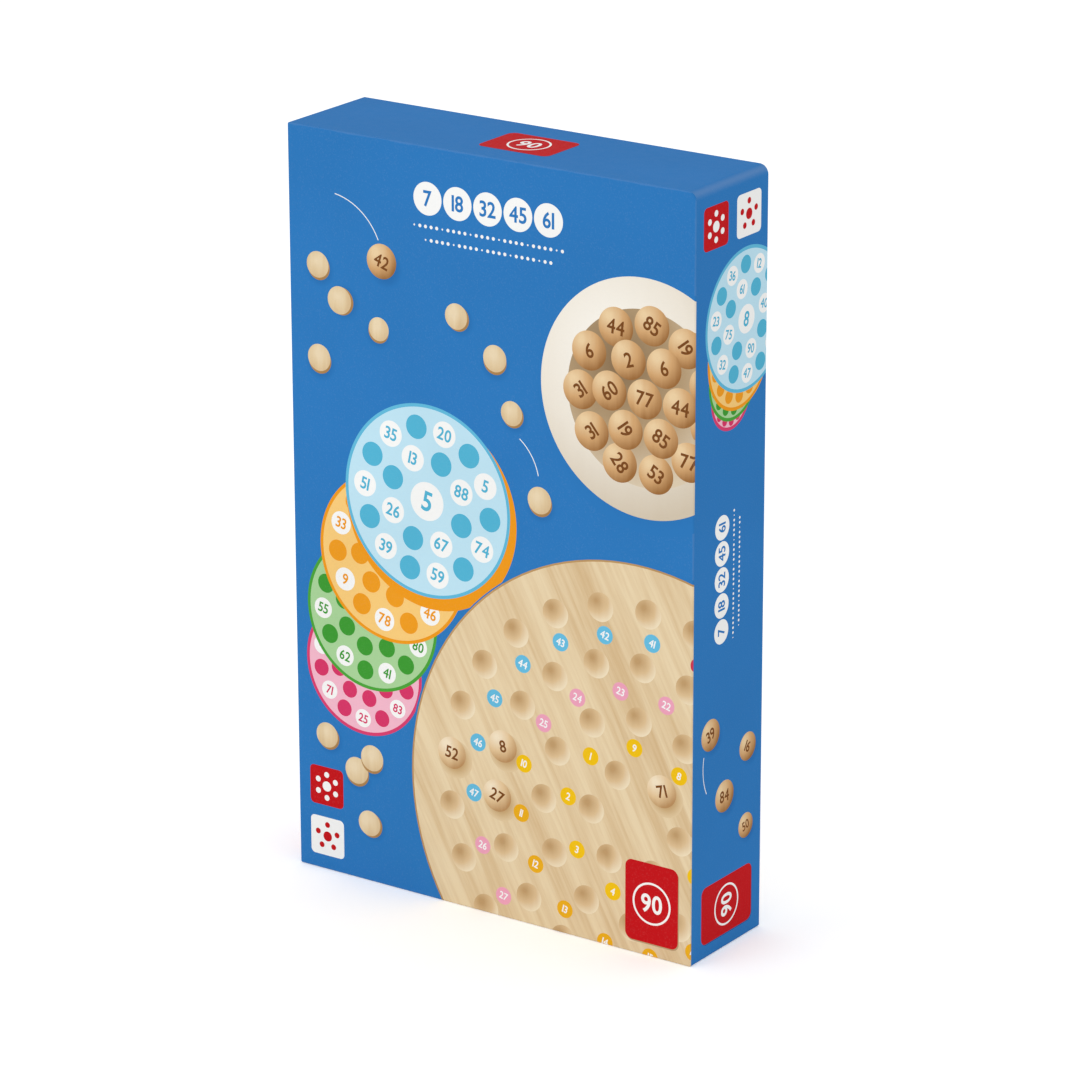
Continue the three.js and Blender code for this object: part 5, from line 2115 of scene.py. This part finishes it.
@dataclass
class CardPack:
    """The twenty-four cards, six in each colour, with three rows of nine number discs."""

    in_colour: int = 6
    corner: float = 4.0
    edge: float = 0.12
    rim: float = 4.2
    columns: int = 9
    rows: int = 3
    in_row: int = 5
    disc: float = 8.3
    disc_sides: int = 36
    figures: float = 8.2

    def build(self) -> None:
        """Builds the cards."""
        dice = random.Random(7)
        for colour in CardColour:
            for index in range(1, self.in_colour + 1):
                self._card(index, colour, dice)

    def _card(self, index: int, colour: CardColour, dice: random.Random) -> None:
        """Builds one card.

        Args:
            index: Its number among its colour's cards.
            colour: Its colour.
            dice: Where its numbers come from.
        """
        slot = f"card_{colour.name.lower()}"
        node = f"{slot}_{index}"
        box = NodeBox.of(node)
        (left, front, low), (width, thickness, height) = box.low, box.size
        plate = Plate(width, height, thickness, [self.corner] * 4, self.edge, 5, 1)
        draft = Draft()
        face = self._face(plate, colour, dice)
        plate.build(draft, lambda p: (left + p[0], front - p[2], low + p[1]), WHITE_BOARD,
                    colour.value[2].value, face)
        settle(draft.as_object(f"{node}_print"), "cards", slot, node)

    def _face(self, plate: Plate, colour: CardColour, dice: random.Random) -> Artwork:
        """Lays out a card's face: fifteen numbers on white discs and twelve filled discs.

        Args:
            plate: The card.
            colour: Its colour.
            dice: Where its numbers come from.

        Returns:
            The face.
        """
        rim, pale, full = colour.value
        art = Artwork(plate.ring(plate.edge), rim.value)
        middle = (plate.width / 2, plate.height / 2)
        width, height = plate.width - 2 * self.rim, plate.height - 2 * self.rim
        art.rounded(middle, width, height, 1.2, pale)
        taken: list[set[int]] = [set() for _ in range(self.columns)]
        for row in range(self.rows):
            shown = set(dice.sample(range(self.columns), self.in_row))
            for column in range(self.columns):
                place = (middle[0] + (column - (self.columns - 1) / 2) * width / self.columns,
                         middle[1] + (1 - row) * height / (self.rows + 0.12))
                if column not in shown:
                    art.disc(place, self.disc, full, self.disc_sides)
                    continue
                free = [n for n in range(column * 10 + 1, column * 10 + 11) if n not in taken[column]]
                number = dice.choice(free)
                taken[column].add(number)
                art.marked(place, self.disc, Ink.WHITE, number, self.figures, full, sides=self.disc_sides)
        return art


@dataclass
class TokenRolls:
    """The hundred and fifty wooden tokens, in three rolls of fifty."""

    in_roll: int = 50
    rolls: int = 3
    chamfer: float = 0.35
    air: float = 0.05
    uneven: float = 0.25
    sides: int = 44

    def build(self) -> None:
        """Builds the rolls."""
        woods = (Wooden.TOKEN_PALE, Wooden.TOKEN_WARM, Wooden.TOKEN_PALE, Wooden.TOKEN_DEEP,
                 Wooden.TOKEN_WARM)
        dice = random.Random(5)
        for roll in range(1, self.rolls + 1):
            node = f"token_roll_{roll}"
            box = NodeBox.of(node)
            _, y, z = box.middle
            end = box.size[0] / self.in_roll - self.air
            draft = Draft()
            for index in range(self.in_roll):
                start = box.low[0] + index * box.size[0] / self.in_roll
                reach = box.size[2] / 2 - dice.uniform(0.0, self.uneven)
                wood = woods[dice.randrange(len(woods))].value
                profile = [(0, self.air), *chamfered(reach, self.air, end, self.chamfer), (0, end)]
                draft.lathe(profile, self.sides, lambda p: (start + p[2], y + p[0], z + p[1]), wood)
            settle(draft.as_object(f"{node}_wood", smooth=30), "tokens", "token_wood", node)


@dataclass
class Studio:
    """The floor, the light and the camera. The floor's side and the lamp's place and side are in metres."""

    azimuth: float = 34.82
    elevation: float = 18.70
    roll: float = -0.153
    aim: Point = (-0.5, 6.9, 175.3)
    distance: float = 2320.0
    focal: float = 5084.3
    frame_side: float = 1066.0
    sensor: float = 36.0
    floor_side: float = 14.0
    floor_drop: float = 1e-4
    sky: float = 0.85
    glow: float = 0.26
    lamp_place: Point = (-1.6, -2.6, 1.3)
    lamp_side: float = 1.8
    lamp_watts: float = 17.0

    def build(self) -> None:
        """Builds the studio."""
        self._camera()
        self._floor()
        self._sky()
        self._lamp()

    def _camera(self) -> None:
        """Sets the camera where the photograph's was: turned about the aim, and back by its distance."""
        camera = linked("camera", bpy.data.cameras.new("camera"))
        camera.data.sensor_width = self.sensor
        camera.data.lens = self.focal / self.frame_side * self.sensor
        camera.data.clip_end = 60
        place = Matrix.Translation(Vector(self.aim) * MM)
        for angle, axis in ((self.azimuth, "Z"), (90 - self.elevation, "X"), (self.roll, "Z")):
            place @= Matrix.Rotation(math.radians(angle), 4, axis)
        camera.matrix_world = place @ Matrix.Translation((0, 0, self.distance * MM))
        bpy.context.scene.camera = camera

    def _floor(self) -> None:
        """Lays a white floor just under the box, which glows a little where it is seen."""
        mesh = bpy.data.meshes.new("floor")
        half = self.floor_side / 2
        corners = [(x, y, -self.floor_drop) for x, y in corners_of((-half, -half), (half, half))]
        mesh.from_pydata(corners, [], [(0, 1, 2, 3)])
        mesh.materials.append(bpy.data.materials.new("floor_white"))
        sheet = NodeSheet(mesh.materials[0])
        sheet.surface(Base_Color=linear(0xFBFBFB), Roughness=0.9, Specular_IOR_Level=0.0)
        glow = sheet.math("MULTIPLY", sheet.seen(), self.glow)
        sheet.surface(Emission_Color=(1, 1, 1, 1), Emission_Strength=glow)
        linked("floor", mesh)

    def _sky(self) -> None:
        """Sets an even white sky, which shows as pure white behind the object."""
        world = bpy.data.worlds.new("sky")
        bpy.context.scene.world = world
        sheet = NodeSheet(world)
        sheet.surface(Color=(1, 1, 1, 1), Strength=sheet.spread(sheet.seen(), self.sky, 1.0))

    def _lamp(self) -> None:
        """Hangs the soft key lamp, which faces the middle of the object."""
        light = bpy.data.lights.new("key", "AREA")
        light.size = self.lamp_side
        light.energy = self.lamp_watts
        lamp = linked("key", light)
        lamp.location = self.lamp_place
        towards = Vector(self.aim) * MM - lamp.location
        lamp.rotation_euler = towards.to_track_quat("-Z", "Y").to_euler()


def main() -> None:
    """Builds the studio and then each part of the game."""
    logging.basicConfig(level=logging.INFO, format="%(name)s: %(message)s")
    bpy.context.scene.view_settings.view_transform = "Standard"
    halves = (BoardHalf("rear", False, 17.5, 36.0), BoardHalf("front", True, 32.5, 14.0))
    for part in (Studio(), Drawcord(), Lid(), Tray(), Insert(), Leaflet(), *halves, Hinge(1, halves),
                 Hinge(2, halves), Balls(), ClothBag(), CardPack(), TokenRolls()):
        LOG.info("%s is next", type(part).__name__)
        part.build()


if __name__ == "__main__":
    main()
